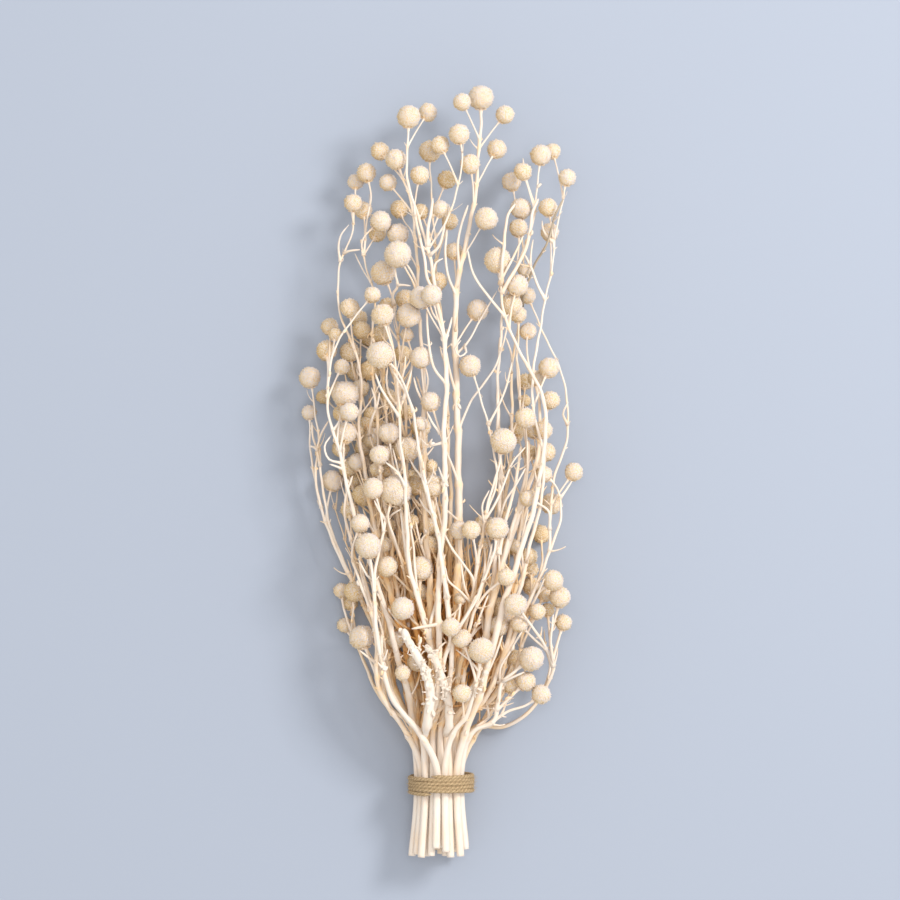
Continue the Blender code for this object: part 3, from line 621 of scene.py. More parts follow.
# A slender stem has these shares of its solid's thickness at these y, and a stout one is a little
# thicker than its solid. Stems in between lie in between, and one trunk is thinned.
SLENDER_DIAMETER = 3.4
STOUT_DIAMETER = 4.6
SLENDER_PLACES = (-120.0, -70.0, 0.0, 100.0)
SLENDER_SHARES = (0.95, 0.86, 0.68, 0.58)
STOUT_SHARE = 1.06
TRUNK_SHARES = {15: 0.66}
TIED_ROUND_RADIUS = 1.9
TIED_POINTS = 3

# Sway: the length and height of each wave, and the stretch in which they die away at an end. A
# stem comes free past the tie, and a twig is the freer the longer it is.
SWAY_WAVES = ((70.0, 0.50), (31.0, 0.24), (13.0, 0.12))
SWAY_END = 12.0
SWAY_FREE_LENGTH = 80.0
STIFF_LENGTH = 12.0
FREEING_LENGTH = 40.0

# Swellings are shares of the radius, each with the length over which it dies away. A limb's free
# part ends a margin short of its head or tip, and a bare tip thins to a share over its last stretch.
FORK_SWELLING = 0.28
BARE_SWELLING = (0.04, 0.20)
KNOT_LENGTH = 1.7
NO_KNOT = (-99.0, 0.0)
ROOT_FLARE = 0.8
ROOT_FLARE_LENGTH = 1.4
NECK_SWELLING = 0.8
NECK_LENGTH = 1.3
HEAD_MARGIN = 4.0
TIP_MARGIN = 3.0
TIP_TAPER = (3.0, 0.3)
BARE_TAPER = (1.2, 0.45)

# Wood is darker at its knots and ends. Deep in the pile, under other limbs and heads, it is
# darker and browner by painted shade, most of all round one place low in the bunch. The height of
# the pile is kept in cells over its plan.
KNOT_SHADE = 0.6
CUT_END_SHADE = 0.5
TIP_SHADE = 0.3
DEPTH_PAINTED_SHADE = 0.95
DEEP_MARGIN = 4.0
DEEPEST = 20.0
PAINTED_SHADE_CENTRE = (4.0, -80.0)
PAINTED_SHADE_REACH = (30.0, 42.0)
LEAST_PAINTED_SHADE = 0.22
PILE_CELL = 3.0
PILE_LOW = np.array((-84.0, -204.0))
PILE_CELLS = (56, 136)
GRAIN_STRETCH = 0.12
GRAIN_SHIFT = 50.0

# A finish is a place in a mesh's list of materials. A spray's are pale wood, florets and
# weathered wood.
MAIN = 0
FLORETS = 1
WEATHERED = 2


def unit(vectors):
    """The vectors at length one: each is divided by the root of its sum of squares."""
    return vectors / np.maximum(np.sqrt((vectors ** 2).sum(-1)), 1e-9)[..., None]


def smooth_route(points, radii, spacing=RING_SPACING):
    """A smooth curve through the points, its radius, and the distance along it, at even spacing.

    Between two points runs a cubic. Its slope at a point is the mean of the slopes of the straight
    lines before and after it, the shorter line counting more.
    """
    runs = np.sqrt((np.diff(points, axis=0) ** 2).sum(1))
    reach = np.concatenate(([0.0], np.cumsum(runs)))
    straight = np.diff(points, axis=0) / runs[:, None]
    slopes = np.vstack((straight[:1], straight[1:], straight[-1:]))
    before = runs[:-1, None]
    after = runs[1:, None]
    slopes[1:-1] = (straight[:-1] * after + straight[1:] * before) / (before + after)
    rings = max(FEWEST_RINGS, int(reach[-1] / spacing))
    distance = np.linspace(0.0, reach[-1], rings)
    low = np.clip(np.searchsorted(reach, distance, side="right") - 1, 0, len(runs) - 1)
    t = ((distance - reach[low]) / runs[low])[:, None]
    run = runs[low][:, None]
    route = points[low] * (1 + 2 * t) * (1 - t) ** 2 + slopes[low] * run * t * (1 - t) ** 2
    route += points[low + 1] * t * t * (3 - 2 * t) + slopes[low + 1] * run * t * t * (t - 1)
    return route, np.interp(distance, reach, radii), distance


def swayed(route, distance, freedom, random):
    """The route with a dried stem's sideways wander: three sine waves in x and three in z."""
    left = distance[-1] - distance
    room = np.clip(left / SWAY_END, 0.0, 1.0) * np.clip(distance / SWAY_END, 0.0, 1.0)
    moved = route.copy()
    for axis in (0, 2):
        for length, height in SWAY_WAVES:
            phase = random.uniform(0, 2 * math.pi)
            wave = np.sin(2 * math.pi * distance / length + phase)
            moved[:, axis] += height * freedom * room * wave
    return moved


def tapered(radius, distance, taper):
    """The radius, thinned evenly over the last stretch to a share of it, as (stretch, share)."""
    stretch, share = taper
    return radius * np.clip((distance[-1] - distance) / stretch, share, 1.0)


def flared(radius, distance):
    """The radius, flared where the limb is rooted: times 1 + flare exp(-distance / length)."""
    return radius * (1 + ROOT_FLARE * np.exp(-distance / ROOT_FLARE_LENGTH))


def ring_directions(route):
    """Tangents of a route, and two directions square to them and to each other at every point.

    The first is square to the tangent and to the squaring direction that the route keeps off most.
    """
    tangents = unit(np.gradient(route, axis=0))
    fixed = SQUARING[np.abs(tangents @ SQUARING.T).max(0).argmin()]
    across = unit(np.cross(tangents, fixed))
    return tangents, across, np.cross(tangents, across)


def pile_tops(routes):
    """The height of the highest limb or head over each cell of the plan, or over a cell beside it."""
    reached = [np.column_stack((limb["route"], limb["radius"])) for limb in routes]
    reached = np.concatenate(reached + [np.column_stack((head_centres, head_radii))])
    cells = ((reached[:, :2] - PILE_LOW) / PILE_CELL).astype(int)
    tops = np.zeros(PILE_CELLS)
    np.maximum.at(tops, (cells[:, 0], cells[:, 1]), reached[:, 2] + reached[:, 3])
    for axis in (0, 1):
        tops = np.maximum(tops, np.maximum(np.roll(tops, 1, axis), np.roll(tops, -1, axis)))
    return tops


def covered(points):
    """How deep points lie in the pile: 0 at its top, rising to 1 at DEEPEST under what is above."""
    across, along = ((points[:, :2] - PILE_LOW) / PILE_CELL).astype(int).T
    return np.clip((tops[across, along] - points[:, 2] - DEEP_MARGIN) / DEEPEST, 0.0, 1.0)


def painted_depth_shade(points):
    """How much painted shade points get for their depth: less away from its centre, by a bell curve."""
    bell = np.exp(-(((points[:, :2] - PAINTED_SHADE_CENTRE) / PAINTED_SHADE_REACH) ** 2).sum(1))
    return covered(points) * (LEAST_PAINTED_SHADE + (1 - LEAST_PAINTED_SHADE) * bell)


def tube_faces(rings, sides):
    """Quads between each ring and the next, and a fan of triangles to a pole past each end."""
    side = np.arange(sides)
    beside = (side + 1) % sides
    starts = np.arange(rings - 1)[:, None] * sides
    quads = np.stack((starts + side, starts + beside, starts + beside + sides, starts + side + sides), 2)
    low_pole = rings * sides
    last = (rings - 1) * sides
    low_fan = np.stack((np.full(sides, low_pole), beside, side), 1)
    high_fan = np.stack((np.full(sides, low_pole + 1), last + side, last + beside), 1)
    return quads.reshape(-1, 4), np.concatenate((low_fan, high_fan))


def round_rings(angles, across, over):
    """A circle of radius one round each point of a route: cos(angle) across + sin(angle) over."""
    return np.cos(angles)[:, None] * across[:, None] + np.sin(angles)[:, None] * over[:, None]


def tube_part(route, ring_points, grain, tint, pole_tints):
    """A tube as one part: its rings with a pole at each end, its faces, its grain and its tint.

    The grain is given as the three arrays of its coordinates, and a pole has its ring's mean grain.
    """
    rings, sides = ring_points.shape[:2]
    quads, triangles = tube_faces(rings, sides)
    grain = np.stack(np.broadcast_arrays(*grain), 2)
    return {
        "points": np.vstack((ring_points.reshape(-1, 3), route[[0, -1]])),
        "quads": quads,
        "triangles": triangles,
        "grain": np.vstack((grain.reshape(-1, 3), grain[[0, -1]].mean(1))),
        "tint": np.concatenate((tint.ravel(), pole_tints)),
        "finish": MAIN,
    }


def knotty_tube(limb, knots, tint, random):
    """A round limb as one part. Grain runs along it, and wood deep in the bunch has painted shade.

    The radius at angle a and distance d is the limb's own, times 1 + 0.05 cos(3a + d / 25) +
    0.035 cos(5a - d / 14) for the flutes, plus a bell curve at each knot, given as (distance,
    swelling).
    """
    sides = limb["sides"]
    radius = limb["radius"][:, None]
    along = limb["distance"][:, None]
    _, across, over = ring_directions(limb["route"])
    angles = 2 * math.pi * np.arange(sides) / sides
    turn = angles[None, :] + random.uniform(0, 2 * math.pi)
    swell = np.ones((len(limb["route"]), sides))
    swell += sum(depth * np.cos(count * turn + along / length) for depth, count, length in FLUTES)
    places, swellings = np.array(knots + [NO_KNOT]).T
    bells = (swellings * np.exp(-((along - places) / KNOT_LENGTH) ** 2)).sum(1)
    bells = np.minimum(bells, FORK_SWELLING)
    swell += bells[:, None]
    circles = round_rings(angles, across, over)
    ring_points = limb["route"][:, None] + (radius * swell)[:, :, None] * circles
    grain = (np.cos(turn) * radius, np.sin(turn) * radius)
    grain += (along * GRAIN_STRETCH + random.uniform(0, GRAIN_SHIFT),)
    # Painted shade: the tint darkens deep in the pile, besides the knots' own darkening
    shade = tint - KNOT_SHADE * bells - DEPTH_PAINTED_SHADE * painted_depth_shade(limb["route"])
    pole_tints = (tint - CUT_END_SHADE, tint - TIP_SHADE)
    return tube_part(limb["route"], ring_points, grain, np.repeat(shade, sides), pole_tints)


def limb_routes():
    """A fine route for every strand of the skeleton, in its order, each rooted on its parent's."""
    random = np.random.default_rng(5)
    routes = []
    head_radius = {head["id"]: head["radius"] for head in bunch.heads}
    for strand in bunch.strands:
        points = skeleton[strand["ids"]].copy()
        diameter = SPRAYS[strand["spray"]].diameter
        stout = (diameter - SLENDER_DIAMETER) / (STOUT_DIAMETER - SLENDER_DIAMETER)
        stout = min(max(stout, 0.0), 1.0) if strand["root"] is None else 0.0
        slender = np.interp(points[:, 1], SLENDER_PLACES, SLENDER_SHARES)
        radii = skeleton_radii[strand["ids"]] * (slender + (STOUT_SHARE - slender) * stout)
        parent = None
        if strand["root"]:
            first = strand["root"][0]
            parent = next(one for one in bunch.strands if first in one["ids"][:-1])["number"]
            near = ((routes[parent]["route"] - points[0]) ** 2).sum(1).argmin()
            shift = routes[parent]["route"][near] - points[0]
            points += shift * np.linspace(1.0, 0.0, len(points))[:, None]
        else:
            radii *= TRUNK_SHARES.get(strand["spray"], 1.0)
            radii[:TIED_POINTS] = TIED_ROUND_RADIUS
        route, radius, distance = smooth_route(points, radii)
        if parent is None:
            freedom = np.clip((route[:, 1] - TIE_Y - STIFF_LENGTH) / FREEING_LENGTH, 0.0, 1.0)
        else:
            freedom = min(1.0, distance[-1] / SWAY_FREE_LENGTH)
            radius = flared(radius, distance)
        route = swayed(route, distance, freedom, random)
        head = head_radius.get(strand["ids"][-1])
        if head:
            neck = (distance[-1] - distance - head) / NECK_LENGTH
            radius *= 1 + NECK_SWELLING * np.exp(-neck ** 2)
        else:
            radius = tapered(radius, distance, TIP_TAPER)
        routes.append({
            "route": route, "radius": radius, "distance": distance, "knots": [], "parent": parent,
            "free_end": distance[-1] - (head + HEAD_MARGIN if head else TIP_MARGIN),
            "spray": strand["spray"], "fade": 0.0, "finish": MAIN,
            "sides": STEM_RING_SIDES if parent is None else TWIG_RING_SIDES,
        })
        if parent is not None:
            routes[parent]["knots"].append((routes[parent]["distance"][near], FORK_SWELLING))
            routes[-1]["root_ring"] = near
    return routes


# Bare twigs. A dried spray is mostly thin, forked twigs that bear nothing. Those that show from above
# are placed one by one: level of the tip, width, and the way there from the limb that it leaves.
BARE_TWIGS = (
    (8.5, 3.8, (429, 246), (428, 234), (431, 215), (433, 200)),
    (9.0, 3.2, (432, 257), (439, 248), (443, 236), (445, 225)),
    (7.5, 3.2, (454, 296), (449, 280), (445, 255), (447, 231)),
    (8.5, 2.4, (433, 273), (437, 263), (443, 260)),
    (8.0, 3.4, (430, 296), (428, 282), (425, 262), (421, 242), (417, 222), (414, 206)),
    (7.5, 3.0, (420, 292), (415, 280), (410, 270), (405, 263)),
    (8.0, 3.0, (389, 305), (393, 294), (398, 287), (396, 276), (395, 265)),
    (8.0, 2.4, (398, 287), (404, 286), (411, 287)),
    (7.0, 3.2, (463, 272), (458, 246), (461, 228), (468, 206)),
    (7.0, 3.6, (502, 286), (502, 268), (504, 250), (505, 230), (508, 215), (515, 205)),
    (8.0, 2.6, (506, 280), (511, 262), (517, 250), (523, 237)),
    (6.5, 3.0, (544, 300), (538, 287), (533, 273), (528, 262), (524, 254)),
    (6.0, 2.6, (553, 241), (547, 237), (543, 230), (542, 221)),
    (8.0, 3.0, (444, 342), (449, 330), (452, 318)),
    (8.0, 2.4, (441, 326), (434, 316), (430, 305), (429, 290)),
    (7.5, 4.0, (503, 293), (512, 275), (519, 262), (525, 248), (530, 230), (533, 212), (538, 200)),
    (8.0, 2.8, (504, 317), (485, 293), (473, 275), (467, 250)),
    (6.5, 2.2, (535, 263), (531, 252), (533, 240)),
    (6.0, 2.6, (342, 252), (350, 251), (360, 250)),
    (8.0, 2.2, (463, 346), (466, 353), (460, 357), (455, 350), (461, 341)),
    (4.5, 2.8, (322, 466), (317, 449), (321, 434), (328, 421)),
    (4.5, 2.6, (317, 450), (313, 447), (309, 446)),
    (7.0, 2.4, (331, 466), (329, 459), (325, 446), (332, 435)),
    (7.5, 2.4, (343, 468), (336, 466), (330, 464)),
    (7.5, 2.2, (336, 430), (338, 424), (340, 420)),
    (3.0, 2.8, (321, 507), (315, 485), (314, 470), (316, 452), (312, 436), (311, 422)),
    (8.0, 3.4, (404, 440), (398, 412), (396, 391), (395, 371), (393, 345), (388, 326)),
    (9.5, 3.0, (413, 412), (406, 392), (398, 379), (391, 366)),
    (9.0, 3.0, (398, 416), (388, 400), (381, 388), (376, 374)),
    (9.0, 2.8, (398, 405), (401, 385), (405, 368), (406, 357)),
    (9.0, 2.8, (405, 400), (408, 385), (412, 371)),
    (8.5, 2.6, (421, 404), (417, 390), (414, 378)),
    (8.5, 2.6, (396, 404), (389, 393), (387, 381), (388, 368)),
    (8.0, 2.8, (366, 436), (372, 420), (378, 404), (380, 393)),
    (8.0, 2.4, (376, 410), (375, 398), (372, 388)),
    (8.5, 3.0, (440, 386), (434, 368), (430, 348), (428, 328), (427, 312)),
    (8.0, 2.4, (431, 396), (428, 380), (425, 366)),
    (9.0, 2.6, (439, 436), (433, 424), (427, 412)),
    (8.5, 2.6, (440, 445), (431, 446), (425, 448), (421, 453)),
    (7.5, 3.0, (457, 484), (453, 468), (448, 456), (444, 446)),
    (7.5, 3.0, (456, 394), (451, 376), (448, 362), (446, 350)),
    (7.0, 2.2, (450, 414), (446, 418), (447, 427), (448, 436)),
    (8.5, 3.0, (410, 486), (398, 472), (386, 462)),
    (7.0, 2.2, (399, 474), (396, 460), (393, 448)),
    (8.5, 3.4, (439, 536), (429, 500), (423, 471), (419, 450), (415, 428), (413, 406)),
    (8.0, 2.6, (430, 516), (424, 506), (419, 497)),
    (8.0, 2.6, (445, 483), (447, 478), (449, 474)),
    (8.0, 2.4, (421, 476), (415, 468), (410, 459)),
    (7.5, 3.2, (350, 540), (345, 515), (346, 497), (353, 476)),
    (9.0, 3.0, (413, 600), (404, 570), (399, 552), (394, 536), (388, 517), (390, 505)),
    (9.0, 2.8, (388, 519), (394, 513), (401, 509)),
    (8.5, 2.8, (386, 519), (379, 509), (375, 500)),
    (8.5, 3.0, (382, 560), (383, 538), (385, 520)),
    (9.0, 2.8, (377, 579), (369, 576), (364, 568), (359, 557)),
    (8.5, 3.0, (415, 592), (409, 565), (405, 543), (401, 511)),
    (8.0, 3.0, (424, 612), (416, 575), (411, 529), (408, 502)),
    (8.5, 2.8, (428, 566), (423, 550), (419, 536), (416, 521)),
    (8.5, 2.4, (422, 545), (423, 537), (427, 533)),
    (8.5, 2.8, (458, 520), (447, 510), (441, 504)),
    (8.5, 3.0, (471, 600), (473, 579), (464, 564), (452, 547), (443, 531)),
    (8.5, 2.8, (470, 601), (464, 585), (461, 563)),
    (9.0, 2.8, (471, 603), (460, 590), (448, 579), (445, 565)),
    (8.0, 2.8, (477, 606), (483, 582), (488, 562), (492, 543)),
    (8.0, 2.6, (497, 576), (499, 560), (498, 545)),
    (8.5, 2.8, (446, 616), (445, 595), (444, 575)),
    (6.0, 2.6, (352, 642), (352, 622), (354, 604)),
    (8.0, 3.0, (379, 662), (370, 657), (360, 649)),
    (9.5, 3.0, (413, 632), (404, 626), (396, 618), (389, 607)),
    (9.5, 3.6, (437, 624), (424, 625), (412, 627)),
    (9.0, 2.8, (401, 640), (394, 622), (384, 605), (378, 592)),
    (9.0, 2.8, (398, 690), (388, 660), (382, 632), (376, 606)),
    (9.8, 9.0, (423, 741), (428, 720), (430, 698), (425, 670), (417, 652), (408, 637), (404, 627)),
    (9.3, 3.0, (417, 652), (420, 642), (419, 633)),
    (9.6, 8.4, (443, 742), (449, 722), (449, 698), (441, 672), (434, 656), (426, 643)),
    (9.3, 2.8, (434, 656), (440, 645), (446, 640)),
    (9.0, 2.8, (448, 668), (458, 634), (467, 612), (476, 594)),
    (8.5, 2.6, (478, 668), (468, 657), (456, 648)),
    (8.0, 2.6, (455, 655), (449, 645), (443, 636)),
    (8.5, 2.8, (473, 640), (479, 617), (488, 594)),
    (8.5, 3.0, (480, 698), (487, 673), (495, 655), (502, 634)),
    (7.5, 3.0, (501, 690), (500, 668), (510, 650), (521, 631)),
    (7.5, 2.8, (502, 682), (513, 676), (524, 671)),
    (8.0, 2.6, (491, 520), (497, 500), (505, 481), (512, 463), (525, 447)),
    (8.0, 2.6, (500, 520), (506, 500), (516, 484), (525, 468)),
    (7.5, 2.6, (507, 512), (502, 486), (500, 457)),
    (8.0, 2.4, (476, 520), (482, 505), (489, 490)),
    (7.0, 2.6, (524, 500), (527, 470), (527, 440)),
    (6.5, 2.6, (521, 573), (522, 540), (528, 509)),
    (7.0, 2.6, (531, 606), (538, 592), (544, 578)),
    (6.5, 2.6, (556, 668), (551, 648), (553, 614)),
    (5.5, 2.6, (560, 498), (566, 490), (572, 481)),
    (6.5, 2.6, (560, 425), (563, 413), (568, 402)),
    (6.0, 2.4, (508, 372), (511, 352), (506, 338)),
    (5.0, 4.4, (503, 566), (513, 525), (520, 496), (527, 468), (529, 440)),
    (5.5, 4.0, (498, 556), (506, 520), (513, 495), (517, 468), (521, 446)),
    (4.5, 4.0, (516, 548), (524, 518), (533, 490), (538, 462), (540, 438)),
    (6.5, 2.6, (519, 400), (519, 375), (516, 355)),
    (7.0, 2.6, (490, 425), (503, 395), (512, 362)),
)
WEATHERED_TWIG = (7.5, 3.0, (521, 306), (527, 285), (535, 263), (547, 243), (553, 220), (563, 200))
RISE_POWER = 0.5
FALL_POWER = 1.0
PLACED_OVER_SHARE = -0.15

# The two widest are peeled: swollen in even lumps, whiter, and thin where they are rooted. They
# rise at once.
PEELED_WIDTH = 5.0
PEELED_RISE_POWER = 0.3
PEELED_FADE = -0.25
PEELED_ROOT = (0.0, 15.0)
PEELED_ROOT_SHARES = (0.3, 1.0)
PEELED_FIRST_LUMP = 3.0
PEELED_LUMPS = 4.2
PEELED_LUMP_SCATTER = 0.8

# How a bare twig keeps clear of heads, and when it counts as running over one's middle
HEAD_CLEARANCE = 0.4
FLOOR_ROOM = 0.6
OVER_SHARE = 0.9
DETOUR_SLOPE = 0.5
DETOUR_START = 3.0
BARE_TIP_SHARE = 0.70
HIGHER_FIRST = 0.04
FAR = 1e9


def ring_beside(routes, x, y):
    """The limb and the ring of it that lie nearest this place in plan, a higher one going first."""
    best = (FAR, 0, 0)
    for number, limb in enumerate(routes):
        across, along, height = limb["route"].T
        gaps = np.hypot(across - x, along - y) - HIGHER_FIRST * height
        gaps[limb["distance"] > limb["free_end"]] = FAR
        best = min(best, (gaps.min(), number, gaps.argmin()))
    return best[1:]


def clear_of_heads(route, distance, reach, over_share):
    """The route raised over, or lowered under, every head that it would run through.

    It goes over a head when it lies above the head's middle by this share of its radius, or when
    there is no room below. The rings beside a raised one follow it in a slope of one half.
    """
    offset = route[:, None] - head_centres
    wide = (head_radii + reach) ** 2 - offset[:, :, 0] ** 2 - offset[:, :, 1] ** 2
    cap = np.sqrt(np.maximum(wide, 0.0))
    nearest_ring = cap.argmax(0)
    above = offset[nearest_ring, np.arange(len(head_radii)), 2] > over_share * head_radii
    above |= head_centres[:, 2] - head_radii < 2 * reach + FLOOR_ROOM
    raised = np.where((cap > 0) & above, cap - offset[:, :, 2], 0.0).max(1)
    lowered = np.where((cap > 0) & ~above, cap + offset[:, :, 2], 0.0).max(1)
    slope = DETOUR_SLOPE * np.abs(distance[:, None] - distance)
    change = np.maximum(raised - slope, 0.0).max(1) - np.maximum(lowered - slope, 0.0).max(1)
    change *= np.clip(distance / DETOUR_START, 0.0, 1.0)
    moved = route.copy()
    moved[:, 2] = np.maximum(moved[:, 2] + change, reach)
    return moved


def hides_a_head(route):
    """Whether a route runs over a head as seen from above."""
    offset = route[:, None] - head_centres
    beside = np.hypot(offset[:, :, 0], offset[:, :, 1]) < head_radii
    return (beside & (offset[:, :, 2] > 0)).any()


def add_bare(routes, parent, ring, points, radius, fade, random, over_share=OVER_SHARE,
             tip_share=BARE_TIP_SHARE):
    """One bare twig that leaves a ring of its parent, through these points to its tip."""
    radii = np.linspace(radius, radius * tip_share, len(points))
    route, radius, distance = smooth_route(points, radii, BARE_RING_SPACING)
    route = swayed(route, distance, min(1.0, distance[-1] / SWAY_FREE_LENGTH), random)
    if over_share > 0 and hides_a_head(route):
        return
    route = clear_of_heads(route, distance, radius.max() + HEAD_CLEARANCE, over_share)
    radius = tapered(flared(radius, distance), distance, BARE_TAPER)
    routes[parent]["knots"].append((routes[parent]["distance"][ring], FORK_SWELLING))
    routes.append({
        "route": route, "radius": radius, "distance": distance, "knots": [], "parent": parent,
        "free_end": distance[-1] - TIP_MARGIN, "spray": routes[parent]["spray"],
        "root_ring": ring, "fade": fade, "finish": MAIN, "sides": BARE_RING_SIDES,
    })


def add_shown_twigs(routes):
    """The bare twigs that were placed one by one, the weathered one last.

    A twig's height goes from its limb's to its tip's by a power of the share of its points.
    """
    random = np.random.default_rng(21)
    for level, width, *way in BARE_TWIGS + (WEATHERED_TWIG,):
        places = np.array([plan_place(*place) for place in way])
        parent, ring = ring_beside(routes, *places[0])
        start = routes[parent]["route"][ring]
        rise = level_height(level) - start[2]
        peeled = width >= PEELED_WIDTH
        power = FALL_POWER if rise < 0 else PEELED_RISE_POWER if peeled else RISE_POWER
        heights = start[2] + rise * np.linspace(0.0, 1.0, len(way)) ** power
        points = np.column_stack((places, heights))
        points[0] = start
        fade = PEELED_FADE if peeled else 0.0
        radius = width * PLAN_STEP / 2
        add_bare(routes, parent, ring, points, radius, fade, random, PLACED_OVER_SHARE)
        if peeled:
            twig = routes[-1]
            twig["radius"] *= np.interp(twig["distance"], PEELED_ROOT, PEELED_ROOT_SHARES)
            for place in np.arange(PEELED_FIRST_LUMP, twig["distance"][-1], PEELED_LUMPS):
                place += random.normal(0, PEELED_LUMP_SCATTER)
                twig["knots"].append((place, FORK_SWELLING))
    routes[-1]["finish"] = WEATHERED


# Further heads. These show only in part behind others: level, width, and the places of the twig's
# root and of the head. Below are places of heads fuller than their solids, each by a share.
FURTHER_HEADS = (
    (3.5, 16, (351, 448), (340, 413)), (6.8, 18, (404, 468), (394, 436)),
    (6.8, 16, (423, 470), (419, 443)), (6.8, 16, (396, 480), (386, 453)),
    (3.5, 18, (372, 475), (366, 441)), (4.0, 18, (362, 505), (352, 465)),
    (4.0, 18, (385, 400), (377, 362)), (4.0, 16, (356, 380), (347, 352)),
    (8.5, 16, (414, 700), (403, 671)), (9.3, 19, (466, 720), (462, 691)),
    (5.5, 24, (494, 650), (505, 613)), (5.5, 18, (428, 622), (419, 592)),
    (5.0, 18, (434, 566), (429, 545)), (5.0, 14, (523, 575), (516, 547)),
    (3.0, 18, (368, 400), (358, 317)), (2.5, 18, (405, 440), (402, 353)),
    (2.0, 20, (365, 540), (352, 481)), (2.5, 16, (372, 470), (371, 414)),
    (2.0, 18, (368, 440), (360, 387)), (2.5, 18, (400, 460), (388, 397)),
    (2.0, 18, (385, 500), (380, 470)), (2.5, 16, (420, 470), (407, 412)),
    (5.0, 16, (388, 600), (384, 545)), (3.0, 18, (360, 560), (349, 510)),
    (7.0, 18, (505, 722), (512, 686)), (6.5, 20, (488, 650), (498, 626)),
    (3.0, 18, (360, 500), (347, 468)), (2.5, 18, (352, 440), (338, 390)),
    (3.0, 18, (385, 470), (379, 428)), (2.5, 18, (352, 520), (340, 448)),
    (3.0, 16, (420, 560), (411, 522)), (4.5, 18, (538, 470), (534, 430)),
    (3.0, 17, (533, 485), (530, 453)), (2.5, 16, (515, 470), (516, 436)),
    (8.0, 15, (424, 458), (420, 424)), (3.5, 17, (372, 490), (357, 460)),
    (3.0, 17, (402, 520), (411, 478)), (3.0, 17, (380, 470), (366, 424)),
    (5.5, 14, (395, 470), (386, 470)),
)
FULLER_HEADS = ((399, 498, 1.25), (415, 452, 1.22), (442, 493, 1.15), (350, 436, 1.30))
FURTHER_TWIG_RADIUS = 0.55
FURTHER_TWIG_SAG = 0.15


def add_further_heads(routes):
    """The heads that show only in part behind others, each on a bare twig from the nearest limb.

    A head is lowered until it is clear of the other heads, and never below the floor. The rows
    that come back hold its limb's number, its centre and its radius.
    """
    random = np.random.default_rng(24)
    further = []
    for level, width, *way in FURTHER_HEADS:
        places = np.array([plan_place(*place) for place in way])
        radius = width * PLAN_STEP / 2
        height = level_height(level)
        apart = np.hypot(*(head_centres[:, :2] - places[-1]).T)
        room = np.sqrt(np.maximum((head_radii + radius) ** 2 - apart ** 2, 0.0))
        for other in np.argsort(-head_centres[:, 2]):
            if abs(head_centres[other, 2] - height) < room[other]:
                height = head_centres[other, 2] - room[other]
        height = max(height, radius)
        parent, ring = ring_beside(routes, *places[0])
        start = routes[parent]["route"][ring]
        tip = np.append(places[-1], height)
        middle = (start + tip) / 2 - (0, 0, FURTHER_TWIG_SAG * abs(height - start[2]))
        points = np.array((start, middle, tip))
        add_bare(routes, parent, ring, points, FURTHER_TWIG_RADIUS, 0.0, random, PLACED_OVER_SHARE)
        routes[-1]["route"][-1] = tip
        further.append((len(routes) - 1, tip, radius))
    return further


# The thicket. Lower down, thin runners keep beside the stems that they left, and pairs of small
# twigs fork off stems and runners. They fill the left of the bunch and its lower half, and stand
# less thick on the right. A row of the thicket's outline is how far down, its left and its right.
THICKET = np.array((
    (190, 365, 425), (300, 338, 422), (380, 312, 422), (460, 316, 432), (520, 330, 447),
    (555, 342, 520), (600, 350, 548), (650, 366, 552), (700, 388, 525), (740, 405, 480),
))
RIGHT_SIDE = (500, 556)
RIGHT_DENSITY = 0.42

# Runners: how many leave a stem, where, how long, how far beside it and how far below, and how
# much each leans away. Points are taken from every few rings of the stem.
RUNNERS = 14
RUNNER_STARTS = (TIE_Y + 20.0, 0.0)
RUNNER_LENGTHS = (45.0, 110.0)
RUNNER_OFFSETS = (2.0, 8.5)
RUNNER_RADIUS = (0.70, 1.25)
RUNNER_SINKS = (0.25, 0.95)
RUNNER_LEAN = 0.13
RUNNER_RINGS = 6
RUNNER_FEWEST_POINTS = 5
RUNNER_LEAVING_POINTS = 4.0
RUNNER_INWARD_SHARE = 0.6
RUNNER_LOWEST = 2.0
RUNNER_TIP_SHARE = 0.36
# Painted shade: a runner's tint darkens the more it sinks
RUNNER_PAINTED_SHADE = (0.20, -0.10)

# Pairs: their spacing along a limb from its first one on, the angle, length and radius of a twig,
# and what keeps one out: chance, or a place high up or far out
PAIR_FIRST_ON_STEM = 45.0
PAIR_FIRST_ON_TWIG = 6.0
PAIR_SPACING = (9.0, 27.0)
PAIR_ANGLES = (0.34, 0.80)
PAIR_ANGLE_LOST = 0.75
PAIR_STEEPNESS = 0.45
PAIR_LENGTHS = (8.0, 30.0)
PAIR_RADIUS = (0.40, 0.58)
PAIR_POINTS = 6
PAIR_FADES = (-0.05, 0.12)
PAIR_MISSING_SHARE = 0.35
PAIR_HIGHEST = 30.0
PAIR_WIDEST = 35


def thicket_density(place):
    """How thick the small twigs stand at a place: 1 in the thicket, less on the right-hand side."""
    across = place[0] / PLAN_STEP + PLAN_CENTRE_ACROSS
    down = PLAN_CENTRE_DOWN - place[1] / PLAN_STEP
    left = np.interp(down, THICKET[:, 0], THICKET[:, 1])
    right = np.interp(down, THICKET[:, 0], THICKET[:, 2])
    if down > THICKET[-1, 0]:
        return 0.0
    if left < across < right:
        return 1.0
    return RIGHT_DENSITY if RIGHT_SIDE[0] < across < RIGHT_SIDE[1] else 0.0


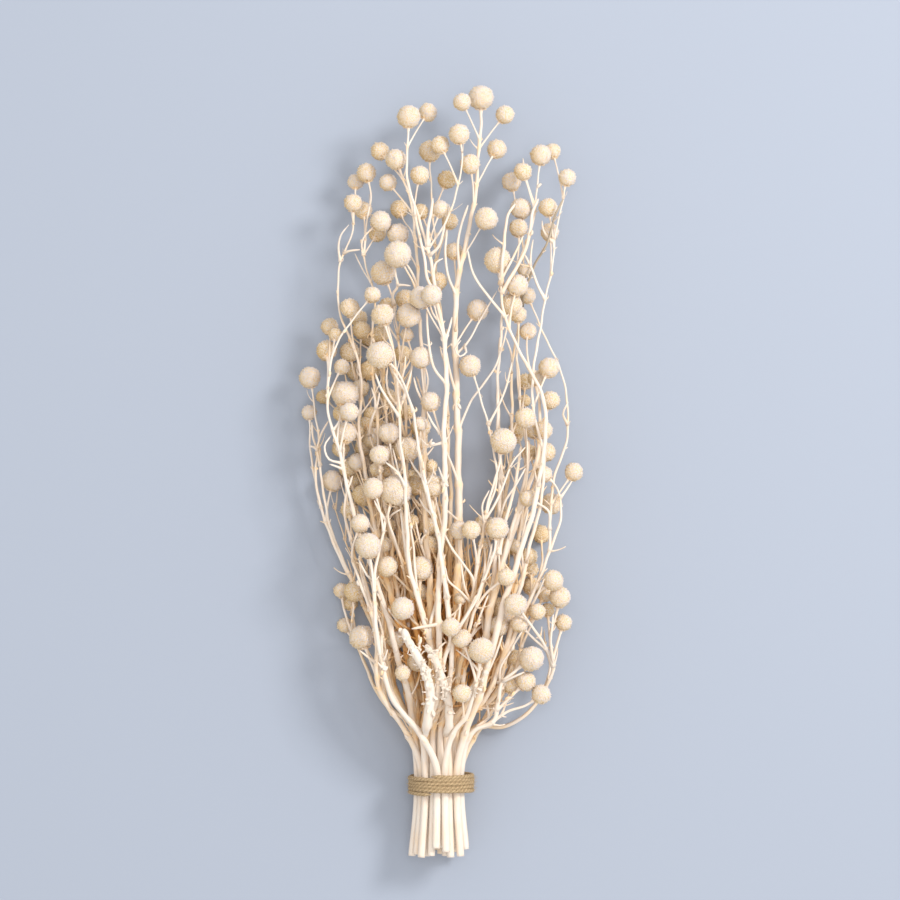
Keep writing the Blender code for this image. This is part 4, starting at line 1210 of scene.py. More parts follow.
def add_runners(routes):
    """Thin stems that leave a stem low down, sink below it by a share of its height and run on.

    Each keeps at a small distance from its stem and leans away from it. The deepest are darkest, by
    painted shade.
    """
    random = np.random.default_rng(22)
    for parent in [number for number, limb in enumerate(routes) if limb["parent"] is None]:
        stem = routes[parent]
        for _ in range(RUNNERS):
            low = random.uniform(*RUNNER_STARTS)
            high = low + random.uniform(*RUNNER_LENGTHS)
            inside = (stem["route"][:, 1] > low) & (stem["route"][:, 1] < high)
            inside &= stem["distance"] < stem["free_end"]
            turn = random.uniform(0, 2 * math.pi)
            offset = random.uniform(*RUNNER_OFFSETS)
            radius = random.uniform(*RUNNER_RADIUS)
            sink = random.uniform(*RUNNER_SINKS)
            lean = random.normal(0, RUNNER_LEAN)
            rings = np.flatnonzero(inside)[::RUNNER_RINGS]
            if len(rings) < RUNNER_FEWEST_POINTS:
                continue
            points = stem["route"][rings].copy()
            if random.random() > thicket_density(points[len(rings) // 2]):
                continue
            side = math.cos(turn) * offset
            if side * points[-1, 0] > 0 and random.random() < RUNNER_INWARD_SHARE:
                side *= -1
            if lean * points[-1, 0] > 0:
                lean *= -1
            gone = eased(np.clip(np.arange(len(rings)) / RUNNER_LEAVING_POINTS, 0.0, 1.0))
            points[:, 0] += side * gone + lean * (points[:, 1] - points[0, 1])
            points[:, 2] -= sink * gone * np.maximum(points[:, 2] - RUNNER_LOWEST, 0.0)
            if thicket_density(points[-1]) == 0.0:
                continue
            # Painted shade: the deeper it sinks, the darker
            fade = RUNNER_PAINTED_SHADE[0] * sink + RUNNER_PAINTED_SHADE[1]
            add_bare(routes, parent, rings[0], points, radius, fade, random, tip_share=RUNNER_TIP_SHARE)


def add_pairs(routes):
    """Small twigs in pairs that fork off a limb at one knot and bend back to run along with it.

    A twig's direction is cos(a) tangent + sin(a) side, where angle a falls to a quarter at its tip.
    """
    random = np.random.default_rng(23)
    share = np.linspace(0.0, 1.0, PAIR_POINTS)[:, None]
    for parent in range(len(routes)):
        limb = routes[parent]
        tangents = ring_directions(limb["route"])[0]
        place = PAIR_FIRST_ON_STEM if limb["parent"] is None else PAIR_FIRST_ON_TWIG
        while True:
            place += random.uniform(*PAIR_SPACING)
            if place > limb["free_end"]:
                break
            ring = np.abs(limb["distance"] - place).argmin()
            root = limb["route"][ring]
            if random.random() > thicket_density(root) or root[2] > PAIR_HIGHEST:
                continue
            tangent = tangents[ring]
            level_side = unit(np.cross(tangent, (0.0, 0.0, 1.0)))
            steep = random.normal(0, PAIR_STEEPNESS)
            side = level_side * math.cos(steep) + np.cross(level_side, tangent) * math.sin(steep)
            for sign in (1, -1):
                length = random.uniform(*PAIR_LENGTHS)
                start = random.uniform(*PAIR_ANGLES)
                radius = random.uniform(*PAIR_RADIUS)
                outward = sign * side[0] * root[0] > 0 and abs(root[0]) > PAIR_WIDEST
                if random.random() < PAIR_MISSING_SHARE or outward:
                    continue
                angle = start * (1 - PAIR_ANGLE_LOST * share)
                steps = np.cos(angle) * tangent + np.sin(angle) * side * sign
                steps = steps * length / (PAIR_POINTS - 1)
                points = root + np.concatenate((np.zeros((1, 3)), np.cumsum(steps[:-1], 0)))
                if thicket_density(points[-1]) == 0.0:
                    continue
                fade = random.uniform(*PAIR_FADES)
                add_bare(routes, parent, ring, points, radius, fade, random)


# Spurs and husks. Dried twigs keep short bare spurs, mostly opposite a twig that bears a head, and
# papery husks that have curled up where leaves and buds once stood. They sit on the knots.
FIRST_KNOT_Y = TIE_Y + 30.0
FIRST_KNOT = 8.0
KNOT_SPACING = (11.0, 24.0)
KNOT_CLEARANCE = 5.0
KNOT_SIDE_SHARE = 0.62
SPRAY_TINTS = (0.86, 0.98)
LIMB_TINT = 0.06
HUSK_SHARE = 0.32
HUSK_LENGTHS = (2.4, 4.8)
HUSK_LEANS = (0.2, 1.2)
HUSK_HALF_WIDTH = 0.70
HUSK_HALF_THICKNESS = 0.13
LONG_SPUR_SHARE = 0.30
LONG_SPURS = (4.0, 11.0)
SHORT_SPURS = (1.4, 3.2)
SPUR_LEANS = (0.5, 1.0)
SPUR_OF_LIMB = 0.55
SPUR_MOST = 0.62
SPUR_ROOT = 0.6
BEND_SCATTER = 0.5
STRAP_SIZES = (0.8, 1.2)
STRAP_SIDES = 6
STRAP_GRAIN = (0.5, GRAIN_STRETCH, 0.5)
SPUR = {"rings": 6, "curls": (0.1, 0.9), "tints": (0.62, 0.95)}
HUSK = {"rings": 9, "curls": (1.4, 4.4), "tints": (0.45, 1.0)}


def little_straps(roots, directions, bends, lengths, curls, half_widths, half_depths, tint):
    """Many spurs or husks as one part: tubes that curl evenly from one direction towards another.

    At share u of its length the strap runs along cos(curl u) direction + sin(curl u) bend. Its
    section is an ellipse, half_widths across the curl by half_depths within it, given at each ring.
    """
    count, rings = half_widths.shape
    share = np.linspace(0.0, 1.0, rings)[None, :, None]
    angle = curls[:, None, None] * share
    tangents = np.cos(angle) * directions[:, None] + np.sin(angle) * bends[:, None]
    steps = tangents * (lengths / (rings - 1))[:, None, None]
    passed = np.concatenate((np.zeros((count, 1, 3)), np.cumsum(steps[:, :-1], 1)), 1)
    middles = roots[:, None] + passed
    across = np.cross(directions, bends)[:, None] + np.zeros((count, rings, 3))
    over = np.cross(tangents, across)
    turn = 2 * math.pi * np.arange(STRAP_SIDES) / STRAP_SIDES
    wide = half_widths[:, :, None, None] * np.cos(turn)[:, None]
    deep = half_depths[:, :, None, None] * np.sin(turn)[:, None]
    points = middles[:, :, None] + wide * across[:, :, None]
    points += deep * over[:, :, None]
    points = np.concatenate((points.reshape(count, -1, 3), middles[:, [0, -1]]), 1)
    quads, triangles = tube_faces(rings, STRAP_SIDES)
    strap_size = points.shape[1]
    starts = (np.arange(count) * strap_size)[:, None, None]
    points = points.reshape(-1, 3)
    return {
        "points": points,
        "quads": (quads[None] + starts).reshape(-1, 4),
        "triangles": (triangles[None] + starts).reshape(-1, 3),
        "grain": points * STRAP_GRAIN,
        "tint": np.repeat(tint, strap_size),
        "finish": MAIN,
    }


def spur_widths(share, size, radii):
    """Half-widths of spurs, thinning to a little under half with a foot that spreads.

    At share u of a spur: (1 - 0.55 u) (1 + 0.5 exp(-9 u)), times its own share of its limb's radius.
    """
    base = np.minimum(SPUR_OF_LIMB * radii, SPUR_MOST)
    return base * size * (1.0 - 0.55 * share) * (1 + 0.5 * np.exp(-share * 9))


def husk_widths(share, size):
    """Half-widths of husks: a long oval, sin(pi (0.14 + 0.80 u)) to the power 0.8 at share u."""
    return HUSK_HALF_WIDTH * size * np.sin(math.pi * (0.14 + 0.80 * share)) ** 0.8


def spur_parts(roots, tangents, outwards, radii, husk_share, random):
    """Spurs and husks at knots: each leaves its limb's side outwards, leaning along its tangent."""
    count = len(roots)
    husk = random.random(count) < husk_share
    lean = np.where(husk, random.uniform(*HUSK_LEANS, count), random.uniform(*SPUR_LEANS, count))
    directions = unit(outwards + tangents * lean[:, None])
    square = unit(tangents - directions * (tangents * directions).sum(1)[:, None])
    sideways = np.cross(directions, square) * random.normal(0, BEND_SCATTER, count)[:, None]
    bends = unit(square + sideways)
    long = random.random(count) < LONG_SPUR_SHARE
    spur_lengths = np.where(long, random.uniform(*LONG_SPURS, count), random.uniform(*SHORT_SPURS, count))
    husk_lengths = random.uniform(*HUSK_LENGTHS, count)
    starts = roots + outwards * (SPUR_ROOT * radii)[:, None]
    parts = []
    for kind, form, lengths in ((~husk, SPUR, spur_lengths), (husk, HUSK, husk_lengths)):
        number = kind.sum()
        if number == 0:
            continue
        share = np.linspace(0.0, 1.0, form["rings"])[None, :]
        size = random.uniform(*STRAP_SIZES, number)[:, None]
        if form is SPUR:
            widths = spur_widths(share, size, radii[kind][:, None])
            depths = widths
        else:
            widths = husk_widths(share, size)
            depths = HUSK_HALF_THICKNESS * size + 0.0 * share
        curls = random.uniform(*form["curls"], number)
        # Painted shade: spurs and husks deep in the pile are darker
        tint = random.uniform(*form["tints"], number) - DEPTH_PAINTED_SHADE * painted_depth_shade(roots[kind])
        parts.append(little_straps(
            starts[kind], directions[kind], bends[kind], lengths[kind], curls, widths, depths, tint,
        ))
    return parts


def bare_knots(limb, random):
    """Knots with no fork, unevenly along the free part of a limb and clear of its forks."""
    start = FIRST_KNOT_Y if limb["parent"] is None else limb["route"][0, 1]
    place = limb["distance"][np.abs(limb["route"][:, 1] - start).argmin()] + FIRST_KNOT
    knots = []
    while True:
        place += random.uniform(*KNOT_SPACING)
        if place > limb["free_end"]:
            return knots
        if all(abs(place - knot[0]) > KNOT_CLEARANCE for knot in limb["knots"]):
            knots.append((place, random.uniform(*BARE_SWELLING)))


def knot_rows(limbs, routes, random):
    """What stands on the knots: up to two at a bare knot on opposite sides, and one at each fork.

    A row is the root, the limb's tangent there, the direction outwards and the limb's radius. At a
    fork the direction is opposite the twig's.
    """
    rows = []
    for limb in limbs:
        along, across, over = ring_directions(limb["route"])
        for knot, _ in limb["bare_knots"]:
            ring = np.abs(limb["distance"] - knot).argmin()
            turn = random.uniform(0, 2 * math.pi)
            out = math.cos(turn) * across[ring] + math.sin(turn) * over[ring]
            for side in (1, -1):
                if random.random() < KNOT_SIDE_SHARE:
                    rows.append((limb["route"][ring], along[ring], out * side, limb["radius"][ring]))
        if limb["parent"] is not None:
            parent = routes[limb["parent"]]
            ring = limb["root_ring"]
            parent_along = ring_directions(parent["route"])[0][ring]
            leaving = limb["route"][2] - limb["route"][0]
            out = leaving - parent_along * (leaving * parent_along).sum()
            rows.append((parent["route"][ring], parent_along, -unit(out), parent["radius"][ring]))
    return [np.array(column) for column in zip(*rows)]


# Scraps: tufts of curled husk that cling to the wood, more of them low in the bunch
SCRAPS = (
    (431, 453), (447, 425), (484, 545), (461, 600), (461, 404), (314, 456), (417, 523), (425, 536),
    (384, 664), (405, 630), (420, 640), (413, 650), (436, 668), (447, 675), (457, 690), (500, 692),
    (520, 695), (362, 612), (500, 470), (421, 684), (474, 622), (440, 700), (366, 335), (446, 483),
    (412, 668), (430, 655), (466, 672), (486, 684), (398, 655), (427, 627), (508, 664), (352, 612),
)
SCRAP_HUSKS = 6
SCRAP_HUSK_SHARE = 0.9
SCRAP_LENGTH = 1.2
SCRAP_UPWARDS = (0, 0, 0.5)

# Curls of bark, most of them on the two peeled stems
BARK_CURLS = (
    (406, 630), (410, 637), (414, 645), (419, 655), (422, 662), (425, 670), (428, 680), (430, 690),
    (430, 704), (426, 643), (431, 650), (434, 657), (439, 667), (443, 676), (446, 685), (449, 694),
    (449, 706), (433, 684), (427, 674), (446, 689), (384, 663), (486, 672), (474, 690), (505, 684),
)
CURLS = 9
CURL_RINGS = 9
CURL_UPWARDS = (0, 0, 0.7)
CURL_LEANS = (0.3, 1.0)
CURL_LEAST = 0.40
CURL_RANGE = 0.75
CURL_PLACES = 2.0
CURL_ROOT = 0.7
CURL_TWIST = 0.2
CURL_LENGTHS = (1.5, 4.0)
CURL_BENDS = (-2.4, 2.4)
CURL_TINTS = (0.88, 1.06)
CURL_THICKNESS = 0.28


def clinging(routes, places):
    """The limb and ring that lies nearest each place."""
    return [ring_beside(routes, *plan_place(*place)) for place in places]


def scrap_parts(limb, ring, random):
    """A tuft of husks and spurs round one ring of a limb, most of them on its upper side."""
    along = ring_directions(limb["route"])[0][ring]
    outwards = unit(np.cross(along, random.normal(0, 1, (SCRAP_HUSKS, 3))) + SCRAP_UPWARDS)
    roots = limb["route"][ring] + along * random.normal(0, SCRAP_LENGTH, (SCRAP_HUSKS, 1))
    tangents = np.tile(along, (SCRAP_HUSKS, 1)) * random.choice((-1, 1), (SCRAP_HUSKS, 1))
    radii = np.full(SCRAP_HUSKS, limb["radius"][ring])
    return spur_parts(roots, tangents, outwards, radii, SCRAP_HUSK_SHARE, random)


def bark_curls(limb, ring, random):
    """Ragged white curls of bark that have peeled off a limb at one place and stand away from it.

    At share u a curl of size s is s (1.3 + 0.4 sin(7u + 3s)) wide to each side of its middle, times
    sin(pi (0.12 + 0.8 u)) to the power 0.6.
    """
    along = ring_directions(limb["route"])[0][ring]
    out = unit(np.cross(along, random.normal(0, 1, (CURLS, 3))) + CURL_UPWARDS)
    away = out * random.uniform(*CURL_LEANS, (CURLS, 1))
    directions = unit(away + along * random.choice((-1, 1), (CURLS, 1)))
    share = np.linspace(0.0, 1.0, CURL_RINGS)[None, :]
    size = CURL_LEAST + CURL_RANGE * random.random((CURLS, 1)) ** 1.5
    wavy = 1.3 + 0.4 * np.sin(7 * share + 3 * size)
    widths = size * wavy * np.sin(math.pi * (0.12 + 0.8 * share)) ** 0.6
    roots = limb["route"][ring] + along * random.normal(0, CURL_PLACES, (CURLS, 1))
    roots = roots + out * limb["radius"][ring] * CURL_ROOT
    bends = np.cross(np.cross(directions, out), directions)
    bends = unit(bends + random.normal(0, CURL_TWIST, (CURLS, 3)))
    bends = unit(bends - directions * (bends * directions).sum(1)[:, None])
    lengths = random.uniform(*CURL_LENGTHS, CURLS) + size[:, 0]
    curls = random.uniform(*CURL_BENDS, CURLS)
    tint = random.uniform(*CURL_TINTS, CURLS)
    depths = CURL_THICKNESS * size + 0 * share
    return little_straps(roots, directions, bends, lengths, curls, widths, depths, tint)


def wood_parts(number, routes, scraps, peelings, random):
    """Every limb of a spray, the spurs and husks on its knots, and what clings to it."""
    limbs = [limb for limb in routes if limb["spray"] == number]
    spray_tint = random.uniform(*SPRAY_TINTS)
    parts = []
    for limb in limbs:
        limb["bare_knots"] = bare_knots(limb, random)
        tint = spray_tint + random.uniform(-LIMB_TINT, LIMB_TINT) - limb["fade"]
        parts.append(knotty_tube(limb, limb["knots"] + limb["bare_knots"], tint, random))
        parts[-1]["finish"] = limb["finish"]
    parts += spur_parts(*knot_rows(limbs, routes, random), HUSK_SHARE, random)
    for limb_number, ring in scraps:
        if routes[limb_number]["spray"] == number:
            parts += scrap_parts(routes[limb_number], ring, random)
    for limb_number, ring in peelings:
        if routes[limb_number]["spray"] == number:
            parts.append(bark_curls(routes[limb_number], ring, random))
    return parts


# The wood's finish: dry, matt wood, darker in the knots, with fine streaks along its grain and with
# broad, faint patches. Most is bleached to cream over tan, and one old twig is grey-brown. The
# ramps' tan and orange-brown ends also paint the shade deep in the pile.
TINT = ("Attribute", {"attribute_name": "tint"}, "Fac")
GRAIN = ("Attribute", {"attribute_name": "grain"}, "Vector")
PLACE = ("TexCoord", {}, "Object")
WOOD_LAYERS = (
    (GRAIN, (1.6, 5.0, 0.62), (0.38, 0.66), (-0.16, 0.12)),
    (PLACE, (70.0, 2.0, 0.5), (0.3, 0.7), (-0.10, 0.10)),
)
BLEACHED = (
    (0.0, (0.80, 0.42, 0.13)), (0.42, (0.90, 0.665, 0.40)),
    (0.82, (0.83, 0.715, 0.61)), (1.0, (0.84, 0.76, 0.67)),
)
GREY_BROWN = (
    (0.0, (0.16, 0.11, 0.07)), (0.42, (0.24, 0.18, 0.125)),
    (0.82, (0.36, 0.29, 0.21)), (1.0, (0.50, 0.42, 0.32)),
)
RELIEF_DEPTH = 0.0002


def dry_finish(name, stops, layers, roughness, gloss, relief):
    """A dry finish. The mesh's tint plus each layer of noise is a place, 0 to 1, in a colour ramp.

    A layer is what its noise runs over; its scale, detail and roughness; and the range of its values
    that is spread evenly over the range added. The ramp's stops are places and colours. The first
    layer also stands up as a relief of this strength.
    """
    made = bpy.data.materials.new(name)
    made.use_nodes = True

    def set_inputs(node, inputs):
        """Sets each input of a node to a value, or links it from another node's output."""
        for socket, value in inputs.items():
            if isinstance(value, bpy.types.NodeSocket):
                made.node_tree.links.new(value, node.inputs[socket])
            else:
                node.inputs[socket].default_value = value

    def output(kind, settings, result, inputs=()):
        """The output of a new node of this kind, with these settings and inputs."""
        node = made.node_tree.nodes.new("ShaderNode" + kind)
        for setting, value in settings.items():
            setattr(node, setting, value)
        set_inputs(node, dict(inputs))
        return node.outputs[result]

    surface = {"Roughness": roughness, "Specular IOR Level": gloss}
    lightness = output(*TINT)
    for number, (source, (scale, detail, rough), taken, given) in enumerate(layers):
        noise = output("TexNoise", {}, "Fac", {
            "Vector": output(*source), "Scale": scale, "Detail": detail, "Roughness": rough,
        })
        spread = output("MapRange", {}, "Result", {
            "Value": noise, "From Min": taken[0], "From Max": taken[1],
            "To Min": given[0], "To Max": given[1],
        })
        addition = {"operation": "ADD", "use_clamp": number == len(layers) - 1}
        lightness = output("Math", addition, "Value", {0: lightness, 1: spread})
        if relief and number == 0:
            bump = {"Strength": relief, "Distance": RELIEF_DEPTH, "Height": noise}
            surface["Normal"] = output("Bump", {}, "Normal", bump)
    colours = output("ValToRGB", {}, "Color", {"Fac": lightness})
    ramp = colours.node.color_ramp
    for element, (place, colour) in zip(ramp.elements, (stops[0], stops[-1])):
        element.position = place
        element.color = (*colour, 1.0)
    for place, colour in stops[1:-1]:
        ramp.elements.new(place).color = (*colour, 1.0)
    surface["Base Color"] = colours
    set_inputs(made.node_tree.nodes["Principled BSDF"], surface)
    return made


WOOD = {"roughness": 0.72, "gloss": 0.35, "relief": 0.55, "layers": WOOD_LAYERS}
bleached_wood = dry_finish("bleached_wood", BLEACHED, **WOOD)
weathered_wood = dry_finish("weathered_wood", GREY_BROWN, **WOOD)

# The heads: dried button flowers. Each is a dense ball of tiny florets on a neck of wood with a small
# calyx of pointed bracts. The florets are pale at their tips, with painted shade in tan in the pits
# between them and on the ball under them.
GOLDEN_ANGLE = math.pi * (3 - math.sqrt(5))
CORE_SHARE = 0.94
CORE_ROWS = 10
CORE_COLUMNS = 18

# The ball's waves, in two sets of three: how closely they follow one another, and their height
WAVES_PER_SET = 3
LONG_WAVES = (2.0, 4.0)
SHORT_WAVES = (9.0, 13.0)
WAVE_HEIGHTS = (0.012, 0.011)
FLATTENING = (0.0, 0.05)

# Florets: their pitch over the ball, how close they pack, how far each strays, leans and rises
FLORET_PITCH = 1.0
FLORET_SIDES = 4
FLORET_PACKING = 0.866
FLORET_STRAY = 0.16
FLORET_LEAN = 0.16
FLORET_SINK = 0.012
FLORET_HEIGHTS = (0.96, 1.05)
FLORET_WIDTHS = (0.46, 0.60)
PROUD_SHARE = 0.2
PROUD_RISE = 0.36
NECK_HEIGHT = -0.93

# Tints: tips, pits as painted shade, the ball under them, a floret's own and a head's own. Painted
# light and shade: lighter on the side towards the lamp at the upper right and darker away from it,
# and darker for a head deep in the pile.
TIP_TINT = 1.06
SHADED_PIT_TINT = 0.46
SHADED_CORE_TINT = 0.20
FLORET_SCATTER = 0.09
HEAD_SCATTER = 0.06
HEAD_DEPTH_PAINTED_SHADE = 0.30
PAINTED_LIGHT_SIDE = np.array((0.60, 0.38, 0.70))
PAINTED_LIGHT_TINT = 0.54
PAINTED_LIGHT_RANGE = (-0.5, 0.55)
PAINTED_LIGHT_MIDDLE = 0.36

# Bracts, as shares of the head's radius, and in millimetres where they are rooted and how thick
CALYX_BRACTS = 7
BRACT_RINGS = 6
BRACT_LENGTHS = (0.34, 0.52)
BRACT_HALF_WIDTH = 0.15
BRACT_HALF_THICKNESS = 0.14
BRACT_TINTS = (0.45, 0.75)
CALYX_DEPTH = 0.985
CALYX_RADIUS = 0.35


def head_directions(axis):
    """Two directions square to a head's axis, and the axis itself, as three rows."""
    fixed = np.array((0.0, 0.0, 1.0)) if abs(axis[2]) < 0.8 else np.array((1.0, 0.0, 0.0))
    side = unit(np.cross(axis, fixed))
    return np.array((side, np.cross(axis, side), axis))


def core_part(centre, frame_rows, stretch, tint):
    """The ball under the florets: rows and columns of a globe, each point as far out as stretch says."""
    polar = math.pi * np.arange(1, CORE_ROWS) / CORE_ROWS
    turn = 2 * math.pi * np.arange(CORE_COLUMNS) / CORE_COLUMNS
    ring = np.sin(polar)[:, None]
    height = -np.cos(polar)[:, None] + 0 * turn
    local = np.stack((ring * np.cos(turn), ring * np.sin(turn), height), 2).reshape(-1, 3)
    local = np.vstack((local, (0, 0, -1), (0, 0, 1)))
    directions = local @ frame_rows
    points = centre + directions * stretch(directions)[:, None] * CORE_SHARE
    quads, triangles = tube_faces(CORE_ROWS - 1, CORE_COLUMNS)
    return {
        "points": points, "quads": quads, "triangles": triangles, "grain": points,
        "tint": np.full(len(points), tint), "finish": FLORETS,
    }


def floret_part(centre, frame_rows, stretch, radius, shade, random):
    """The florets: low, pointed buds at the places of a sunflower's spiral carried over a ball.

    Floret n of N stands at height 1 - (2n + 1) / N on the unit ball and is turned by n golden
    angles. Each is a cone: a ring sunk in the core, and a tip that leans.
    """
    count = int(4 * math.pi * radius ** 2 / (FLORET_PITCH ** 2 * FLORET_PACKING))
    number = np.arange(count)
    height = 1 - (2 * number + 1) / count
    turn = number * GOLDEN_ANGLE + random.uniform(0, 2 * math.pi)
    ring = np.sqrt(1 - height ** 2)
    local = np.stack((ring * np.cos(turn), ring * np.sin(turn), height), 1)
    local = unit(local + random.normal(0, FLORET_STRAY * FLORET_PITCH / radius, (count, 3)))
    local = local[local[:, 2] > NECK_HEIGHT]
    count = len(local)
    out = local @ frame_rows
    side = unit(np.cross(out, frame_rows[0] + 0.3 * frame_rows[1]))
    over = np.cross(out, side)
    surface = stretch(out)
    low = surface * (CORE_SHARE - FLORET_SINK)
    high = surface * random.uniform(*FLORET_HEIGHTS, count)
    high += PROUD_RISE * (random.random(count) < PROUD_SHARE)
    width = FLORET_PITCH * random.uniform(*FLORET_WIDTHS, count)
    angles = 2 * math.pi * np.arange(FLORET_SIDES) / FLORET_SIDES
    angles = angles + random.uniform(0, 2 * math.pi, count)[:, None]
    spoke = np.cos(angles)[:, :, None] * side[:, None] + np.sin(angles)[:, :, None] * over[:, None]
    lean = side * random.normal(0, FLORET_LEAN, count)[:, None]
    lean += over * random.normal(0, FLORET_LEAN, count)[:, None]
    ring = out[:, None] * low[:, None, None] + spoke * width[:, None, None]
    tip = (out * high[:, None] + lean * FLORET_PITCH)[:, None]
    points = centre + np.concatenate((ring, tip), 1)
    step = np.arange(FLORET_SIDES)
    tips = np.stack((step, (step + 1) % FLORET_SIDES, np.full(FLORET_SIDES, FLORET_SIDES)), 1)
    starts = (np.arange(count) * points.shape[1])[:, None, None]
    # Painted light and shade: a floret is lighter towards the upper right lamp, darker away from it
    painted_light = np.clip(out @ PAINTED_LIGHT_SIDE, *PAINTED_LIGHT_RANGE) - PAINTED_LIGHT_MIDDLE
    own = random.normal(shade, FLORET_SCATTER, count) + PAINTED_LIGHT_TINT * painted_light
    # Painted shade: each floret's ring, sunk in the pits, is darker than its tip
    levels = np.append(np.full(FLORET_SIDES, SHADED_PIT_TINT), TIP_TINT)
    points = points.reshape(-1, 3)
    return {
        "points": points, "quads": np.zeros((0, 4), int),
        "triangles": (tips[None] + starts).reshape(-1, 3), "grain": points,
        "tint": (levels[None] + own[:, None]).ravel(), "finish": FLORETS,
    }


def calyx_part(centre, frame_rows, radius, random):
    """Pointed bracts that leave the twig under a head and hug the ball.

    At share u of its length a bract has 1 - 0.85 u to the power 1.4 of its width.
    """
    turn = 2 * math.pi * np.arange(CALYX_BRACTS) / CALYX_BRACTS + random.uniform(0, 1)
    side, over, axis = frame_rows
    out = np.cos(turn)[:, None] * side + np.sin(turn)[:, None] * over
    roots = centre - axis * radius * CALYX_DEPTH + out * CALYX_RADIUS
    share = np.linspace(0.0, 1.0, BRACT_RINGS)[None, :]
    lengths = radius * random.uniform(*BRACT_LENGTHS, CALYX_BRACTS)
    widths = radius * BRACT_HALF_WIDTH * (1.0 - 0.85 * share ** 1.4) + np.zeros((CALYX_BRACTS, 1))
    depths = BRACT_HALF_THICKNESS + np.zeros_like(widths)
    curls = lengths / radius
    bends = np.tile(axis, (CALYX_BRACTS, 1))
    tint = random.uniform(*BRACT_TINTS, CALYX_BRACTS)
    return little_straps(roots, out, bends, lengths, curls, widths, depths, tint)


def head_parts(limb, centre, radius, random):
    """One head: calyx, core and florets round the end of its twig."""
    entry = np.abs(limb["distance"][-1] - limb["distance"] - radius).argmin()
    axis = unit(centre - limb["route"][entry])
    frame_rows = head_directions(axis)
    pulls = (random.uniform(*LONG_WAVES), random.uniform(*SHORT_WAVES))
    pulls = np.repeat(pulls, WAVES_PER_SET)[:, None]
    waves = unit(random.normal(0, 1, (2 * WAVES_PER_SET, 3))) * pulls
    phases = random.uniform(0, 2 * math.pi, 2 * WAVES_PER_SET)
    heights = np.repeat(WAVE_HEIGHTS, WAVES_PER_SET)
    flat = random.uniform(*FLATTENING)
    top = centre + (0, 0, radius)
    # Painted shade: a head is darker the deeper it lies in the pile
    shade = random.normal(0.0, HEAD_SCATTER) - HEAD_DEPTH_PAINTED_SHADE * covered(top[None])[0]

    def stretch(directions):
        """The ball's radius in each direction: flattened along its axis, plus all the waves."""
        lumps = np.sin(directions @ waves.T + phases) @ heights
        return radius * (1 - flat * (directions @ axis) ** 2 + lumps)

    return [
        calyx_part(centre, frame_rows, radius, random),
        core_part(centre, frame_rows, stretch, SHADED_CORE_TINT + shade),
        floret_part(centre, frame_rows, stretch, radius, shade, random),
    ]


# Florets: warm cream over tan, the tan painting the shade in the pits, on the side away from the
# lamp and deep in the pile; each a little different, dry and rough
FLORET_LAYERS = ((PLACE, (160.0, 3.0, 0.5), (0.3, 0.7), (-0.14, 0.10)),)
CREAM_OVER_TAN = ((0.0, (0.70, 0.50, 0.25)), (0.45, (0.82, 0.68, 0.50)), (0.9, (0.725, 0.655, 0.63)))
dried_florets = dry_finish(
    "dried_florets", CREAM_OVER_TAN, FLORET_LAYERS, roughness=0.9, gloss=0.2, relief=0.0,
)

# The 34 sprays, each one piece of wood and florets in place of its solid. A limb's number in the
# list of routes is what its head's row holds, so heads and twigs are added in this order.


def joined_mesh(name, parts):
    """One mesh of several parts: their points end to end, and their faces counted on from them."""
    starts = np.cumsum([0] + [len(part["points"]) for part in parts])[:-1]
    points = np.concatenate([part["points"] for part in parts])
    points[:, 2] = np.maximum(points[:, 2], 0.0)
    quads = np.concatenate([part["quads"] + start for part, start in zip(parts, starts)])
    triangles = np.concatenate([part["triangles"] + start for part, start in zip(parts, starts)])
    finishes = [np.full(len(part["quads"]), part["finish"]) for part in parts]
    finishes += [np.full(len(part["triangles"]), part["finish"]) for part in parts]
    corners = np.concatenate((quads.ravel(), triangles.ravel())).astype(np.int32)
    loop_starts = np.concatenate((
        4 * np.arange(len(quads)), 4 * len(quads) + 3 * np.arange(len(triangles)),
    )).astype(np.int32)
    grain = np.concatenate([part["grain"] for part in parts]).astype(np.float32)
    tint = np.concatenate([part["tint"] for part in parts]).astype(np.float32)
    mesh = bpy.data.meshes.new(name)
    mesh.vertices.add(len(points))
    mesh.vertices.foreach_set("co", (points * METRES).astype(np.float32).ravel())
    mesh.loops.add(len(corners))
    mesh.loops.foreach_set("vertex_index", corners)
    mesh.polygons.add(len(loop_starts))
    mesh.polygons.foreach_set("loop_start", loop_starts)
    mesh.polygons.foreach_set("material_index", np.concatenate(finishes).astype(np.int32))
    mesh.attributes.new("grain", "FLOAT_VECTOR", "POINT").data.foreach_set("vector", grain.ravel())
    mesh.attributes.new("tint", "FLOAT", "POINT").data.foreach_set("value", tint)
    mesh.update(calc_edges=True)
    mesh.shade_smooth()
    return mesh


def shown_piece(mesh, finishes):
    """An object of the mesh's own name that shows it in these finishes."""
    for finish in finishes:
        mesh.materials.append(finish)
    made = bpy.data.objects.new(mesh.name, mesh)
    bpy.context.scene.collection.objects.link(made)
    return made


